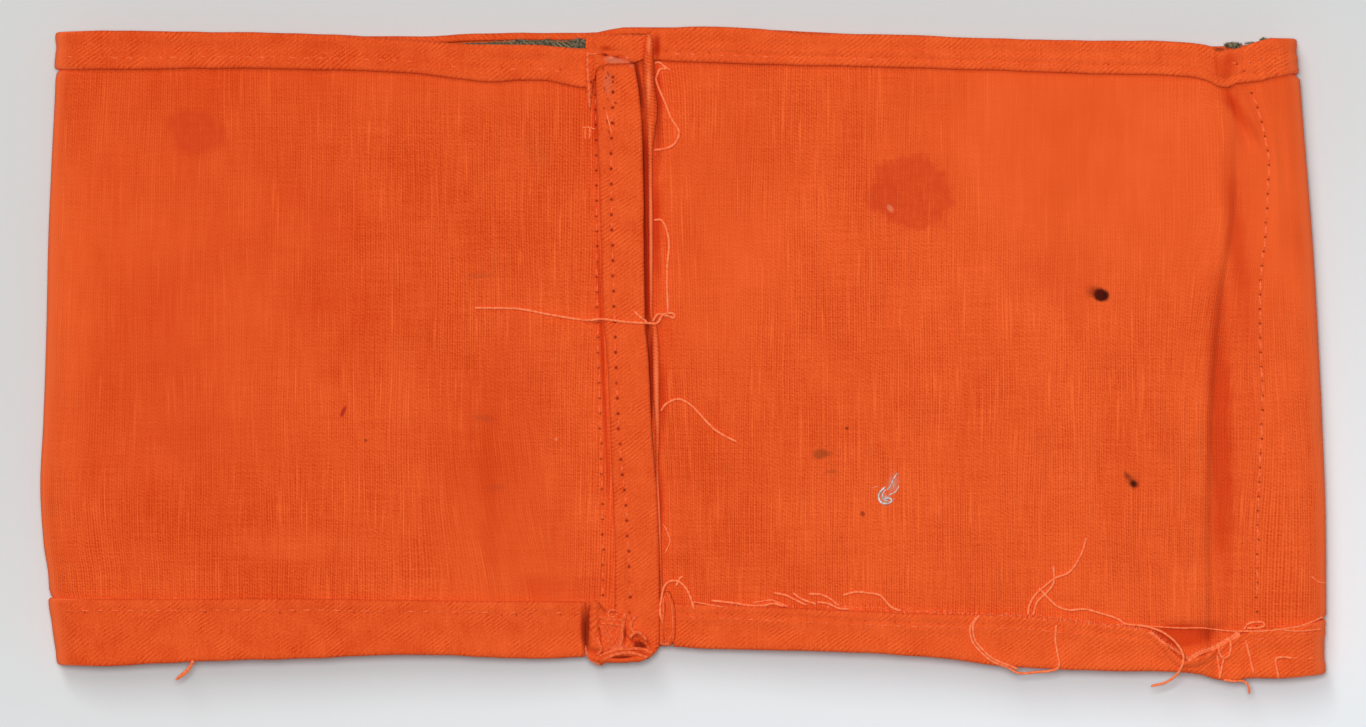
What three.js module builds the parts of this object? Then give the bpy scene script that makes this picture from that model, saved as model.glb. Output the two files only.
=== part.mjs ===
// A cloth armband, sewn into a loop, turned inside out and laid flat on a table.
// Millimetres. +X runs along the flattened band, +Y across it, +Z up, and the table is Z = 0.
// The loop starts at the right of the front seam, goes right, round the right fold, back along
// the table, round the left fold and up to the seam again. Every strip of cloth is a stretch of
// that one surface, set off from it by whole layers, so the layers keep their clearance.

import * as THREE from "three";

// Cloth and clearance
const CLOTH = 1.0;
const GAP = 0.3;
const BACK_HEIGHT = 1.5 * CLOTH + GAP; // middle of the back layer above the table, over its hems
const BACK_SAG = 0.9; // how far the back layer hangs between its two hems
const SEAM_HEIGHT = 6.7; // middle of the front layer where the heavy seam weighs it down

// Fineness of the mesh
const FRONT_STEP = 4.8;
const BACK_STEP = 14;
const FOLD_STEPS = 8;
const HEM_ROWS = 1;
const PANEL_ROWS = 10;

// How far a fold reaches from its shoulder: the left one is pressed sharp, the right one holds
// the patch and stays round.
const LEFT_FOLD_REACH = 7;
const RIGHT_FOLD_REACH = 3.6;

// The turned edge of a hem: the radius of the turn at the middle of its cloth.
const TURN_RADIUS = 0.6;

// Where along the width, from the bottom edge to the top edge, the x columns of a table apply.
const X_STATIONS = [0, 0.28, 0.5, 1];
const Z_STATIONS = [0, 0.5, 1];

// Front layer, left to right: x on the bottom edge, low down, half way and on the top edge,
// y of the bottom edge, the two hem lines and the top edge, and the height of its middle.
const FRONT_COLUMNS = [
  "name", "xBottom", "xLow", "xMid", "xTop",
  "bottomEdge", "bottomHem", "topHem", "topEdge", "zBottom", "zMid", "zTop",
];
const FRONT_LEFT = table(FRONT_COLUMNS, [
  ["shoulder", -91.0, -94.0, -93.2, -91.3, -49.4, -38.8, 44.8, 50.7, 7.8, 7.9, 7.7],
  ["puff", -74, -74, -74, -74, -48.7, -38.8, 44.7, 50.7, 8.5, 8.7, 8.4],
  ["dent", -57, -57, -57, -57, -48.1, -38.8, 44.4, 50.3, 8.5, 8.3, 8.1],
  ["rise", -44, -44, -44, -44, -47.9, -38.9, 43.9, 49.2, 8.4, 8.6, 8.2],
  ["crease_brow", -30.5, -33.8, -34.7, -34.7, -48.2, -39.0, 43.4, 48.7, 7.9, 8.2, 7.9],
  ["crease_foot", -27.5, -30.4, -31.2, -31.2, -48.1, -39.0, 43.1, 48.5, 7.1, 7.1, 7.2],
  ["seam_approach", -20, -20, -20, -20, -48, -39.1, 42.3, 47.9, 6.8, 6.8, 6.8],
  ["hem_end", -15.5, -15, -14.6, -14.1, -48, -39.2, 42, 47.9, 6.7, 6.7, 6.7],
  ["seam", -3.9, -4.3, -5.9, -6.7, -47.6, -39.2, 42, 49.6, 6.7, 6.7, 6.7],
]);
const FRONT_RIGHT = table(FRONT_COLUMNS, [
  ["seam", -3.6, -4, -5.6, -6.4, -46.1, -39.3, 46, 51.2, 6.7, 6.7, 6.7],
  ["hem_start", -1.4, -2.0, -3.2, -4.2, -46.1, -39.4, 46, 51.3, 6.7, 6.7, 6.7],
  ["beside_seam", 6, 6, 6, 6, -46.6, -39.7, 45.7, 51.5, 7.1, 7.3, 7.2],
  ["plain", 20, 20, 20, 20, -47, -40.3, 45.3, 50.6, 8.7, 8.8, 8.7],
  ["middle", 42, 42, 42, 42, -48.2, -41.1, 44.6, 49.9, 8.9, 9.1, 8.9],
  ["far", 58, 58, 58, 58, -49.6, -41.6, 44.1, 49.4, 8.9, 9.0, 8.9],
  ["notch_left", 74, 74, 74, 74, -50.1, -43.7, 43.5, 49.2, 8.9, 9.0, 8.9],
  ["notch_tip", 79.8, 79.4, 80, 82, -50.5, -48, 43, 48.7, 8.8, 8.9, 8.8],
  ["groove_brow", 83.3, 82.6, 83.5, 86.2, -51, -46.9, 42.3, 48.3, 8.6, 8.8, 8.4],
  ["groove_floor", 84.9, 84.2, 85.1, 87.8, -51.1, -46.2, 42.1, 48.1, 7.5, 7.3, 7.4],
  ["stitch_line", 90.8, 91.0, 91.2, 91.2, -51.5, -43.8, 43.2, 49, 7.9, 7.9, 7.8],
  ["shoulder", 97.4, 97.2, 96.5, 93.0, -50.6, -42.1, 44.3, 49.7, 7.7, 7.7, 7.6],
]);

// Back layer, right to left. Its ends take their x from the shoulders of the front.
const BACK_COLUMNS = ["name", "x", "bottomEdge", "bottomHem", "topHem", "topEdge"];
const BACK = table(BACK_COLUMNS, [
  ["under_right_shoulder", null, -50.1, -42.3, 43.9, 49.4],
  ["under_groove", 84, -50.2, -42.6, 43, 48.5],
  ["under_far", 55, -48.8, -41.6, 43.4, 48.9],
  ["under_seam", -6, -46, -38.8, 45.3, 51.1],
  ["in_the_mouth", -18, -46.6, -38.8, 44.7, 50.4],
  ["patch_start", -40, -47.2, -38.8, 44.2, 49.9],
  ["under_left_shoulder", null, -48.6, -38.8, 44.4, 50.2],
]);

// Soft creases pressed into the front: from one point to another, depth and half width.
const CREASE_COLUMNS = ["name", "x1", "y1", "x2", "y2", "depth", "halfWidth"];
const CREASES = table(CREASE_COLUMNS, [
  ["right_upper_drag", 42, 19, 66, -4, 0.5, 5],
  ["right_lower_drag", 44, -12, 53, -36, 0.4, 5],
  ["left_dimple", -64, 27, -46, 25, 0.5, 7],
  ["left_drag", -50, 32, -56, -6, 0.35, 5],
  ["left_low_dimple", -92, -10, -68, -18, 0.45, 6],
]);

// Seam, top to bottom: both sides of the allowance strip, then the gap to the rolled edge and
// the width of the roll, which dies out on its way down.
const SEAM_COLUMNS = ["name", "y", "left", "right", "gap", "roll"];
const SEAM = table(SEAM_COLUMNS, [
  ["under_flap", 50.2, -13.8, -7.7, 1.6, 1.4],
  ["below_flap", 42, -13.7, -6.8, 1.0, 1.3],
  ["upper", 30, -13.3, -6.3, 0.6, 1.2],
  ["middle", 3, -12.4, -5.9, 0.3, 1.2],
  ["lower", -14, -11.4, -4.9, 0.3, 0.9],
  ["roll_end", -20, -11.1, -4.4, 0.3, 0.6],
  ["foot", -34, -10.7, -3.8, 0.3, 0],
  ["end", -39.1, -10.7, -3.8, 0.3, 0],
]);
const ROLL_TOP = 51.2;
const ROLL_HEIGHT = 1.5;

// Top flap over the strip: left and right side, top edge, and the foot at either side.
const FLAP = { left: -15.3, right: -6.5, top: 50.5, leftFoot: 47.3, rightFoot: 46.2 };

// Bunch at the foot of the seam: left and right side row by row.
const BUNCH_COLUMNS = ["name", "y", "left", "right"];
const BUNCH = table(BUNCH_COLUMNS, [
  ["ear", -39.4, -14.4, -3.9],
  ["waist", -43, -14.9, -3.9],
  ["belly", -46.4, -15.0, -4.1],
  ["chin", -48, -14.8, -5.0],
  ["lip", -49, -12.4, -6.6],
]);
const RUCK_COLUMNS = ["name", "x1", "y1", "x2", "y2", "height", "halfWidth"];
const RUCKS = table(RUCK_COLUMNS, [
  ["left_ruck", -14.2, -39.8, -14.4, -47.5, 1.1, 0.9],
  ["middle_ruck", -10.2, -40.2, -11.4, -46.2, 0.9, 1.0],
  ["right_ruck", -8.6, -41.5, -7.9, -45.4, 0.8, 0.8],
  ["lip_ruck", -14.2, -47.8, -4.8, -46.9, 0.9, 0.9],
]);

// Tongue of cloth between the seam and the bottom hem.
const TONGUE_COLUMNS = ["name", "y", "left", "right"];
const TONGUE = table(TONGUE_COLUMNS, [
  ["tip", -38.3, -2.9, -2.4],
  ["neck", -39.6, -3.2, -1.9],
  ["body", -43, -3.3, -1.8],
  ["foot", -46, -3.2, -1.9],
]);

// Patch inside the loop: where it starts on the back and ends under the front, its bottom edge,
// and its frayed top edge, which stands a little above the front's at the right.
const PATCH = { backStart: -40, frontEnd: 86, bottom: -37 };
const PATCH_TOP = table(["name", "x", "y"], [
  ["start", -40, 48.2],
  ["in_the_mouth", -15, 48.8],
  ["hidden", 60, 48.6],
  ["above_the_front", 90, 49.6],
]);

function table(columns, rows) {
  return rows.map((row) => Object.fromEntries(columns.map((column, i) => [column, row[i]])));
}

// Monotone cubic through values at rising positions: it rounds every change and never overshoots.
function smoothThrough(positions, values, at) {
  const last = positions.length - 1;
  if (at <= positions[0]) return values[0];
  if (at >= positions[last]) return values[last];
  const step = positions.slice(1).map((p, i) => p - positions[i]);
  const rise = step.map((width, i) => (values[i + 1] - values[i]) / width);
  const slope = values.map((_, i) => {
    if (i === 0 || i === last) return rise[Math.min(i, last - 1)];
    if (rise[i - 1] * rise[i] <= 0) return 0;
    const before = 2 * step[i] + step[i - 1];
    const after = step[i] + 2 * step[i - 1];
    return (before + after) / (before / rise[i - 1] + after / rise[i]);
  });
  const k = positions.findIndex((p, i) => i < last && at <= positions[i + 1]);
  const t = (at - positions[k]) / step[k];
  const leaving = t ** 3 - 2 * t ** 2 + t;
  const arriving = t ** 3 - t ** 2;
  const share = 3 * t ** 2 - 2 * t ** 3;
  return (
    (1 - share) * values[k] + share * values[k + 1] +
    step[k] * (leaving * slope[k] + arriving * slope[k + 1])
  );
}

// The value of one column of a table at a place along another.
function read(rows, along, column, at) {
  return smoothThrough(rows.map((row) => row[along]), rows.map((row) => row[column]), at);
}

// A bump of height 1 on the line between two points, falling off smoothly to its sides.
function nearLine(line, x, y) {
  const start = new THREE.Vector2(line.x1, line.y1);
  const run = new THREE.Vector2(line.x2, line.y2).sub(start);
  const here = new THREE.Vector2(x, y).sub(start);
  const along = THREE.MathUtils.clamp(here.dot(run) / run.lengthSq(), 0, 1);
  const away = here.sub(run.multiplyScalar(along)).length() / line.halfWidth;
  return Math.exp(-away * away);
}

// One row of the front table, worked out at a place between its rows.
function frontSection(rows, xMid) {
  const values = FRONT_COLUMNS.slice(1).map((column) => [column, read(rows, "xMid", column, xMid)]);
  return Object.fromEntries(values);
}

// Y positions across a section: the bottom hem, the panel and the top hem, row by row.
function rowsAcross(section) {
  const { lerp } = THREE.MathUtils;
  const spread = (from, to, count) => Array.from({ length: count }, (_, i) => lerp(from, to, i / count));
  return [
    ...spread(section.bottomEdge, section.bottomHem, HEM_ROWS),
    ...spread(section.bottomHem, section.topHem, PANEL_ROWS),
    ...spread(section.topHem, section.topEdge, HEM_ROWS),
    section.topEdge,
  ];
}

function frontColumn(section) {
  return rowsAcross(section).map((y) => {
    const share = (y - section.bottomEdge) / (section.topEdge - section.bottomEdge);
    const xs = [section.xBottom, section.xLow, section.xMid, section.xTop];
    const x = smoothThrough(X_STATIONS, xs, share);
    const z = smoothThrough(Z_STATIONS, [section.zBottom, section.zMid, section.zTop], share);
    const pressed = CREASES.reduce((sum, crease) => sum + crease.depth * nearLine(crease, x, y), 0);
    return new THREE.Vector3(x, y, z - pressed);
  });
}

// Flat on its hems, and hanging a little between them.
function backColumn(section, xAcross) {
  return rowsAcross(section).map((y, j) => {
    const share = (y - section.bottomHem) / (section.topHem - section.bottomHem);
    const inPanel = j > HEM_ROWS && j < HEM_ROWS + PANEL_ROWS;
    const sag = inPanel ? BACK_SAG * Math.sin(Math.PI * share) ** 2 : 0;
    return new THREE.Vector3(xAcross[j], y, BACK_HEIGHT - sag);
  });
}

// Sections between the rows of a table, every row kept.
function positionsThrough(rows, column, longestStep) {
  return rows.flatMap((row, i) => {
    if (i === rows.length - 1) return [row[column]];
    const steps = Math.ceil(Math.abs(rows[i + 1][column] - row[column]) / longestStep);
    return Array.from({ length: steps }, (_, k) =>
      THREE.MathUtils.lerp(row[column], rows[i + 1][column], k / steps));
  });
}

// Half an ellipse from one layer's end to the other's, reaching outwards past both. Under the
// hems it reaches less far, so that hem and panel share one outline.
function foldColumns(from, to, reach, outwards) {
  return Array.from({ length: FOLD_STEPS - 1 }, (_, i) => {
    const angle = (Math.PI * (i + 1)) / FOLD_STEPS;
    return from.map((start, j) => {
      const underHem = j <= HEM_ROWS || j >= HEM_ROWS + PANEL_ROWS;
      const out = outwards * (underHem ? reach - CLOTH - GAP : reach);
      const point = start.clone().lerp(to[j], i / (FOLD_STEPS - 2));
      point.x = THREE.MathUtils.lerp(start.x, to[j].x, (1 - Math.cos(angle)) / 2) + out * Math.sin(angle);
      point.z = (start.z + to[j].z) / 2 + ((start.z - to[j].z) / 2) * Math.cos(angle);
      return point;
    });
  });
}

const frontRight = positionsThrough(FRONT_RIGHT, "xMid", FRONT_STEP)
  .map((x) => frontColumn(frontSection(FRONT_RIGHT, x)));
const frontLeft = positionsThrough(FRONT_LEFT, "xMid", FRONT_STEP)
  .map((x) => frontColumn(frontSection(FRONT_LEFT, x)));
const rightShoulder = frontRight.at(-1).map((point) => point.x);
const leftShoulder = frontLeft[0].map((point) => point.x);
const middleRow = HEM_ROWS + PANEL_ROWS / 2;

// The back's ends lie under the shoulders, and between them its sections are straight across.
const backRows = BACK.map((row) => ({ ...row }));
backRows[0].x = rightShoulder[middleRow];
backRows.at(-1).x = leftShoulder[middleRow];
const fromLeft = [...backRows].reverse();
const back = positionsThrough(backRows, "x", BACK_STEP).map((x, i, all) => {
  const edges = BACK_COLUMNS.slice(2).map((column) => [column, read(fromLeft, "x", column, x)]);
  const straight = rightShoulder.map(() => x);
  const across = i === 0 ? rightShoulder : i === all.length - 1 ? leftShoulder : straight;
  return backColumn(Object.fromEntries(edges), across);
});
const rightFold = foldColumns(frontRight.at(-1), back[0], RIGHT_FOLD_REACH, 1);
const leftFold = foldColumns(back.at(-1), frontLeft[0], LEFT_FOLD_REACH, -1);
const loop = [...frontRight, ...rightFold, ...back, ...leftFold, ...frontLeft];

// Outward normal of a grid of points at column i, row j.
function normalAt(grid, i, j) {
  const column = grid[i];
  const along = grid[Math.min(i + 1, grid.length - 1)][j].clone().sub(grid[Math.max(i - 1, 0)][j]);
  const across = column[Math.min(j + 1, column.length - 1)].clone().sub(column[Math.max(j - 1, 0)]);
  return along.cross(across).normalize();
}

// A closed sheet between two offsets from a grid of points.
function sheet(grid, low, high) {
  const columns = grid.length;
  const rows = grid[0].length;
  const positions = [];
  for (const offset of [low, high])
    grid.forEach((column, i) => column.forEach((point, j) => {
      positions.push(...point.clone().addScaledVector(normalAt(grid, i, j), offset).toArray());
    }));
  const lower = (i, j) => i * rows + j;
  const upper = (i, j) => columns * rows + i * rows + j;
  const index = [];
  const quad = (a, b, c, d) => index.push(a, b, c, a, c, d);
  for (let i = 0; i < columns - 1; i++)
    for (let j = 0; j < rows - 1; j++) {
      quad(upper(i, j), upper(i + 1, j), upper(i + 1, j + 1), upper(i, j + 1));
      quad(lower(i, j), lower(i, j + 1), lower(i + 1, j + 1), lower(i + 1, j));
    }
  for (let i = 0; i < columns - 1; i++) {
    quad(lower(i, 0), lower(i + 1, 0), upper(i + 1, 0), upper(i, 0));
    quad(upper(i, rows - 1), upper(i + 1, rows - 1), lower(i + 1, rows - 1), lower(i, rows - 1));
  }
  for (let j = 0; j < rows - 1; j++) {
    quad(upper(0, j), upper(0, j + 1), lower(0, j + 1), lower(0, j));
    quad(lower(columns - 1, j), lower(columns - 1, j + 1), upper(columns - 1, j + 1), upper(columns - 1, j));
  }
  const geometry = new THREE.BufferGeometry();
  geometry.setAttribute("position", new THREE.Float32BufferAttribute(positions, 3));
  geometry.setIndex(index);
  geometry.computeVertexNormals();
  return geometry;
}

const ORANGE_PLAIN = { color: 0xe2561f, roughness: 0.9, metalness: 0 };
const ORANGE_TWILL = { color: 0xdf5220, roughness: 0.85, metalness: 0 };
const OLIVE = { color: 0x64583c, roughness: 0.95, metalness: 0 };

const armband = new THREE.Group();

function addPiece(name, geometry, finish) {
  const mesh = new THREE.Mesh(geometry, new THREE.MeshStandardMaterial(finish));
  mesh.name = name;
  armband.add(mesh);
}

// Offsets from the middle of the band's cloth to its own faces and to the layer inside it.
const OWN_LAYER = [-CLOTH / 2, CLOTH / 2];
const INSIDE = [-1.5 * CLOTH - GAP, -CLOTH / 2 - GAP];

// Band: its edges stop short of the turned edges of the hems.
const bandSurface = loop.map((column) => {
  const trimmed = column.map((point) => point.clone());
  const inwards = (edge, next) => next.clone().sub(edge).setLength(CLOTH + GAP);
  trimmed[0].add(inwards(column[0], column[1]));
  trimmed.at(-1).add(inwards(column.at(-1), column.at(-2)));
  return trimmed;
});
addPiece("band_cloth", sheet(bandSurface, ...OWN_LAYER), ORANGE_PLAIN);

// Hem: from the hem line out to the edge, round it, and in to the inner face of the band.
function hemSection(i, edgeRow, lineRow) {
  const edge = loop[i][edgeRow];
  const line = loop[i][lineRow];
  const normal = normalAt(loop, i, edgeRow);
  const out = edge.clone().sub(line).normalize();
  const layer = CLOTH + GAP;
  const at = (base, along, up) => base.clone().addScaledVector(out, along).addScaledVector(normal, up);
  const turn = [0, Math.PI / 4, Math.PI / 2].map((angle) =>
    at(edge,
      TURN_RADIUS * (Math.sin(angle) - 1) - CLOTH / 2,
      TURN_RADIUS * (Math.cos(angle) - 1) + layer));
  return [at(line, 0, layer), ...turn, at(edge, -CLOTH / 2, -CLOTH / 2)];
}

// A column of the loop just past another, so that two strips part there by the clearance.
function justPast(strip, next) {
  return strip.map((point, j) => point.clone().add(next[j].clone().sub(point).setLength(GAP)));
}

const rightFoldMiddle = frontRight.length + (FOLD_STEPS - 2) / 2;
const leftFoldMiddle = frontRight.length + rightFold.length + back.length + (FOLD_STEPS - 2) / 2;
const hemStart = positionsThrough(FRONT_RIGHT.slice(0, 2), "xMid", FRONT_STEP).length - 1;
const hemEnd = loop.length - positionsThrough(FRONT_LEFT.slice(-2), "xMid", FRONT_STEP).length;

const hemParts = [
  ["right", hemStart, rightFoldMiddle],
  ["back", rightFoldMiddle, leftFoldMiddle],
  ["left", leftFoldMiddle, hemEnd],
];
const hemEdges = [["bottom", 0, HEM_ROWS], ["top", loop[0].length - 1, HEM_ROWS + PANEL_ROWS]];
for (const [edge, edgeRow, lineRow] of hemEdges)
  for (const [part, from, to] of hemParts) {
    const strip = loop.slice(from, to + 1).map((_, k) => hemSection(from + k, edgeRow, lineRow));
    if (part !== "right") strip[0] = justPast(strip[0], strip[1]);
    if (edge === "bottom") strip.forEach((section) => section.reverse());
    addPiece(`${edge}_hem_${part}`, sheet(strip, ...OWN_LAYER), ORANGE_TWILL);
  }

// Patch: the inside of the back layer, the right fold and the first stretch under the front.
function patchSurface() {
  const firstFront = frontRight.findIndex((column) => column[middleRow].x >= PATCH.frontEnd);
  const lastOnBack = back.findLastIndex((column) => column[middleRow].x >= PATCH.backStart);
  const lastBack = frontRight.length + rightFold.length + lastOnBack;
  return loop.slice(firstFront, lastBack + 1).map((column) => {
    const topEdge = read(PATCH_TOP, "x", "y", column[middleRow].x);
    return column.slice(HEM_ROWS).map((point, j, all) => {
      const share = j / (all.length - 1);
      const moved = point.clone();
      moved.y = THREE.MathUtils.lerp(PATCH.bottom, topEdge, share);
      return moved;
    });
  });
}
addPiece("inner_patch", sheet(patchSurface(), ...INSIDE), OLIVE);

// A grid of points at a steady height, from rows with a left and a right side. Columns run
// from left to right, and each column climbs from the last row of the table to the first.
function flatGrid(rows, columns, height) {
  const upwards = [...rows].reverse();
  return Array.from({ length: columns + 1 }, (_, i) => upwards.map((row) => {
    const x = THREE.MathUtils.lerp(row.left, row.right, i / columns);
    return new THREE.Vector3(x, row.y, height(x, row.y, i / columns));
  }));
}

// Table rows with more rows worked out between them.
function refine(rows, step) {
  const rising = [...rows].reverse();
  const columns = Object.keys(rows[0]).filter((key) => key !== "name" && key !== "y");
  return positionsThrough(rows, "y", step).map((y) => {
    const values = columns.map((column) => [column, read(rising, "y", column, y)]);
    return { y, ...Object.fromEntries(values) };
  });
}

const LAYER_ABOVE = SEAM_HEIGHT + CLOTH + GAP;

// Seam strip, crowned a little along its middle
const STRIP_STEP = 9;
const STRIP_CROWN = 0.2;
const stripRows = refine(SEAM, STRIP_STEP);
const crowned = (x, y, share) => LAYER_ABOVE + STRIP_CROWN * Math.sin(Math.PI * share);
addPiece("seam_strip", sheet(flatGrid(stripRows, 4, crowned), ...OWN_LAYER), ORANGE_TWILL);

// Rolled edge: a round welt that rests on the band beside the strip
function rollGeometry() {
  const rollEnd = SEAM.find((row) => row.name === "roll_end");
  const rows = stripRows.filter((row) => row.y >= rollEnd.y);
  const sides = 8;
  const base = SEAM_HEIGHT + CLOTH / 2 + GAP;
  const tall = ROLL_HEIGHT / Math.max(...SEAM.map((row) => row.roll));
  const rings = rows.map((row, i) => {
    const y = i === 0 ? ROLL_TOP : row.y;
    const middle = row.right + row.gap + row.roll / 2;
    const height = row.roll * tall;
    return Array.from({ length: sides }, (_, k) => {
      const angle = (2 * Math.PI * k) / sides;
      const x = middle + (row.roll / 2) * Math.cos(angle);
      return new THREE.Vector3(x, y, base + (height / 2) * (1 + Math.sin(angle)));
    });
  });
  const positions = rings.flat().flatMap((point) => point.toArray());
  const index = [];
  for (let i = 0; i < rings.length - 1; i++)
    for (let k = 0; k < sides; k++) {
      const [a, b] = [i * sides + k, i * sides + ((k + 1) % sides)];
      index.push(a, b, b + sides, a, b + sides, a + sides);
    }
  for (let k = 1; k < sides - 1; k++) {
    const end = (rings.length - 1) * sides;
    index.push(0, k + 1, k, end, end + k, end + k + 1);
  }
  const geometry = new THREE.BufferGeometry();
  geometry.setAttribute("position", new THREE.Float32BufferAttribute(positions, 3));
  geometry.setIndex(index);
  geometry.computeVertexNormals();
  return geometry;
}
addPiece("seam_roll", rollGeometry(), ORANGE_TWILL);

// Flap over the top of the strip
const FLAP_COLUMNS = 4;
const flapHeight = LAYER_ABOVE + STRIP_CROWN + CLOTH + GAP;
const flapGrid = Array.from({ length: FLAP_COLUMNS + 1 }, (_, i) => {
  const share = i / FLAP_COLUMNS;
  const x = THREE.MathUtils.lerp(FLAP.left, FLAP.right, share);
  const foot = THREE.MathUtils.lerp(FLAP.leftFoot, FLAP.rightFoot, share);
  return [foot, (foot + FLAP.top) / 2, FLAP.top].map((y) => new THREE.Vector3(x, y, flapHeight));
});
addPiece("top_flap", sheet(flapGrid, ...OWN_LAYER), ORANGE_TWILL);

// Bunch: a sheet thrown into rucks
const BUNCH_STEP = 0.9;
const BUNCH_FIELDS = 14;
const rucked = (x, y) =>
  LAYER_ABOVE + RUCKS.reduce((sum, ruck) => sum + ruck.height * nearLine(ruck, x, y), 0);
const bunchGrid = flatGrid(refine(BUNCH, BUNCH_STEP), BUNCH_FIELDS, rucked);
addPiece("seam_bunch", sheet(bunchGrid, ...OWN_LAYER), ORANGE_TWILL);

// Tongue
addPiece("seam_tongue", sheet(flatGrid(TONGUE, 2, () => LAYER_ABOVE), ...OWN_LAYER), ORANGE_PLAIN);

export default armband;
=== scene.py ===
# %% [markdown]
# # A worn orange armband, inside out and lying flat
# The real armband is one strip of cotton twill sewn into a loop, with both long edges turned over and
# stitched. It has been turned inside out, so the panels show the wrong side of the cloth, which is
# plain and streaky, while the turned hems and the seam allowance show the right side, which has
# diagonal wales. Inside, an olive patch is sewn to the right side. This notebook lays cloth pieces
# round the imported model, gives them their weave, stains, stitches and loose threads, and lights them.

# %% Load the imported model
import math
import random
from bisect import bisect_right
from functools import lru_cache

import bmesh
import bpy
from mathutils import Matrix, Vector, noise
from mathutils.bvhtree import BVHTree


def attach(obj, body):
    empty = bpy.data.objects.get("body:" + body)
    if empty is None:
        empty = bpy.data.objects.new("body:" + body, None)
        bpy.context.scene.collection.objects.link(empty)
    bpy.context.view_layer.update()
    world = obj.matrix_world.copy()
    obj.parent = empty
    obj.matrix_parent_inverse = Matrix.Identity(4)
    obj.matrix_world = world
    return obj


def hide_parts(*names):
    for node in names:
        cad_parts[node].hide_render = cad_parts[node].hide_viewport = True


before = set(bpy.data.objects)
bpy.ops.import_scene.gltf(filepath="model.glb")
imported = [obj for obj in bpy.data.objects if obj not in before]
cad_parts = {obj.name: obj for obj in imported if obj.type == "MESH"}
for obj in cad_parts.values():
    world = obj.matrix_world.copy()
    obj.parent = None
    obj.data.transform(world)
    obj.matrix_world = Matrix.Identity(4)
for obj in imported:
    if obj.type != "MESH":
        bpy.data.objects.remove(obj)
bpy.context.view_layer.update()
MM = 0.001
print("nodes:", ", ".join(sorted(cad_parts)))

# %% [markdown]
# ## The camera
# The photograph looks straight down on the table. A long lens three metres above the cloth keeps the
# perspective as flat as there. The scale comes from the band's flattened length of 203 mm, which spans
# 1283 pixels of the picture. Where a loose thread runs is read off the picture in pixels, so the same
# scale turns those pixels into millimetres.

# %% Camera over the cloth
PHOTO_WIDTH = 1366
PHOTO_HEIGHT = 727
MM_PER_PIXEL = 0.1582
ORIGIN_PIXEL = (682.5, 352.5)
CAMERA_HEIGHT = 3000.0
CLOTH_TOP = 8.5
SENSOR = 36.0


def photo_to_mm(pixel_x, pixel_y):
    return ((pixel_x - ORIGIN_PIXEL[0]) * MM_PER_PIXEL, (ORIGIN_PIXEL[1] - pixel_y) * MM_PER_PIXEL)


def flat_route(pixels):
    """Places of the picture in millimetres, all at height zero."""
    return [Vector((*photo_to_mm(*pixel), 0.0)) for pixel in pixels]


def add_object(name, data):
    made = bpy.data.objects.new(name, data)
    bpy.context.scene.collection.objects.link(made)
    return made


def add_camera():
    data = bpy.data.cameras.new("camera over the table")
    data.sensor_width = SENSOR
    data.lens = SENSOR * (CAMERA_HEIGHT - CLOTH_TOP) / (PHOTO_WIDTH * MM_PER_PIXEL)
    camera = add_object("camera over the table", data)
    x, y = photo_to_mm(PHOTO_WIDTH / 2, PHOTO_HEIGHT / 2)
    camera.location = Vector((x, y, CAMERA_HEIGHT)) * MM
    bpy.context.scene.camera = camera
    return camera


print("lens:", round(add_camera().data.lens, 1), "mm")

# %% [markdown]
# ## Small helpers for shader nodes
# A material here is a tree of many small sums. These helpers add a node, feed its sockets with either
# a number or another node's output, and hand back the output, so that a formula reads like one.


# %% Node helpers
def add_node(tree, kind, **settings):
    made = tree.nodes.new("ShaderNode" + kind)
    for name, value in settings.items():
        setattr(made, name, value)
    return made


def feed(tree, socket, source):
    if isinstance(source, bpy.types.NodeSocket):
        tree.links.new(source, socket)
    else:
        socket.default_value = source


def maths(tree, operation, *sources, clamp=False):
    made = add_node(tree, "Math", operation=operation, use_clamp=clamp)
    for socket, source in zip(made.inputs, sources):
        feed(tree, socket, source)
    return made.outputs["Value"]


def times(tree, first, second):
    return maths(tree, "MULTIPLY", first, second)


def within_one(tree, source):
    """The source, kept from 0 to 1."""
    return maths(tree, "MINIMUM", maths(tree, "MAXIMUM", source, 0.0), 1.0)


def blend_colours(tree, share, first, second):
    made = add_node(tree, "Mix", data_type="RGBA")
    feed(tree, made.inputs["Factor"], share)
    feed(tree, made.inputs[6], first)
    feed(tree, made.inputs[7], second)
    return made.outputs[2]


def ramp(tree, value, low, high, to_low=0.0, to_high=1.0):
    made = add_node(tree, "MapRange", interpolation_type="SMOOTHSTEP")
    for name, source in (("Value", value), ("From Min", low), ("From Max", high),
                         ("To Min", to_low), ("To Max", to_high)):
        feed(tree, made.inputs[name], source)
    return made.outputs["Result"]


def grain(tree, u, v, wide, long, detail=2.0, layer=0.0):
    """Noise from 0 to 1 whose grains are wide by long millimetres. layer tells like grains apart."""
    place = add_node(tree, "CombineXYZ")
    feed(tree, place.inputs["X"], maths(tree, "DIVIDE", u, wide))
    feed(tree, place.inputs["Y"], maths(tree, "DIVIDE", v, long))
    feed(tree, place.inputs["Z"], layer)
    made = add_node(tree, "TexNoise", noise_dimensions="3D")
    feed(tree, made.inputs["Vector"], place.outputs["Vector"])
    made.inputs["Scale"].default_value = 1.0
    made.inputs["Detail"].default_value = detail
    return made.outputs["Fac"]


def swing(tree, *place_and_size):
    """Noise from -0.5 to 0.5, with the arguments of grain."""
    return maths(tree, "SUBTRACT", grain(tree, *place_and_size), 0.5)


def wave(tree, value, length):
    """A wave from -1 to 1 over each length of the value."""
    return maths(tree, "SINE", times(tree, maths(tree, "DIVIDE", value, length), 2 * math.pi))


def weighted(tree, *pairs):
    """The sum of (source, weight) pairs."""
    total = 0.0
    for source, weight in pairs:
        total = maths(tree, "MULTIPLY_ADD", source, weight, total)
    return total


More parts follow.
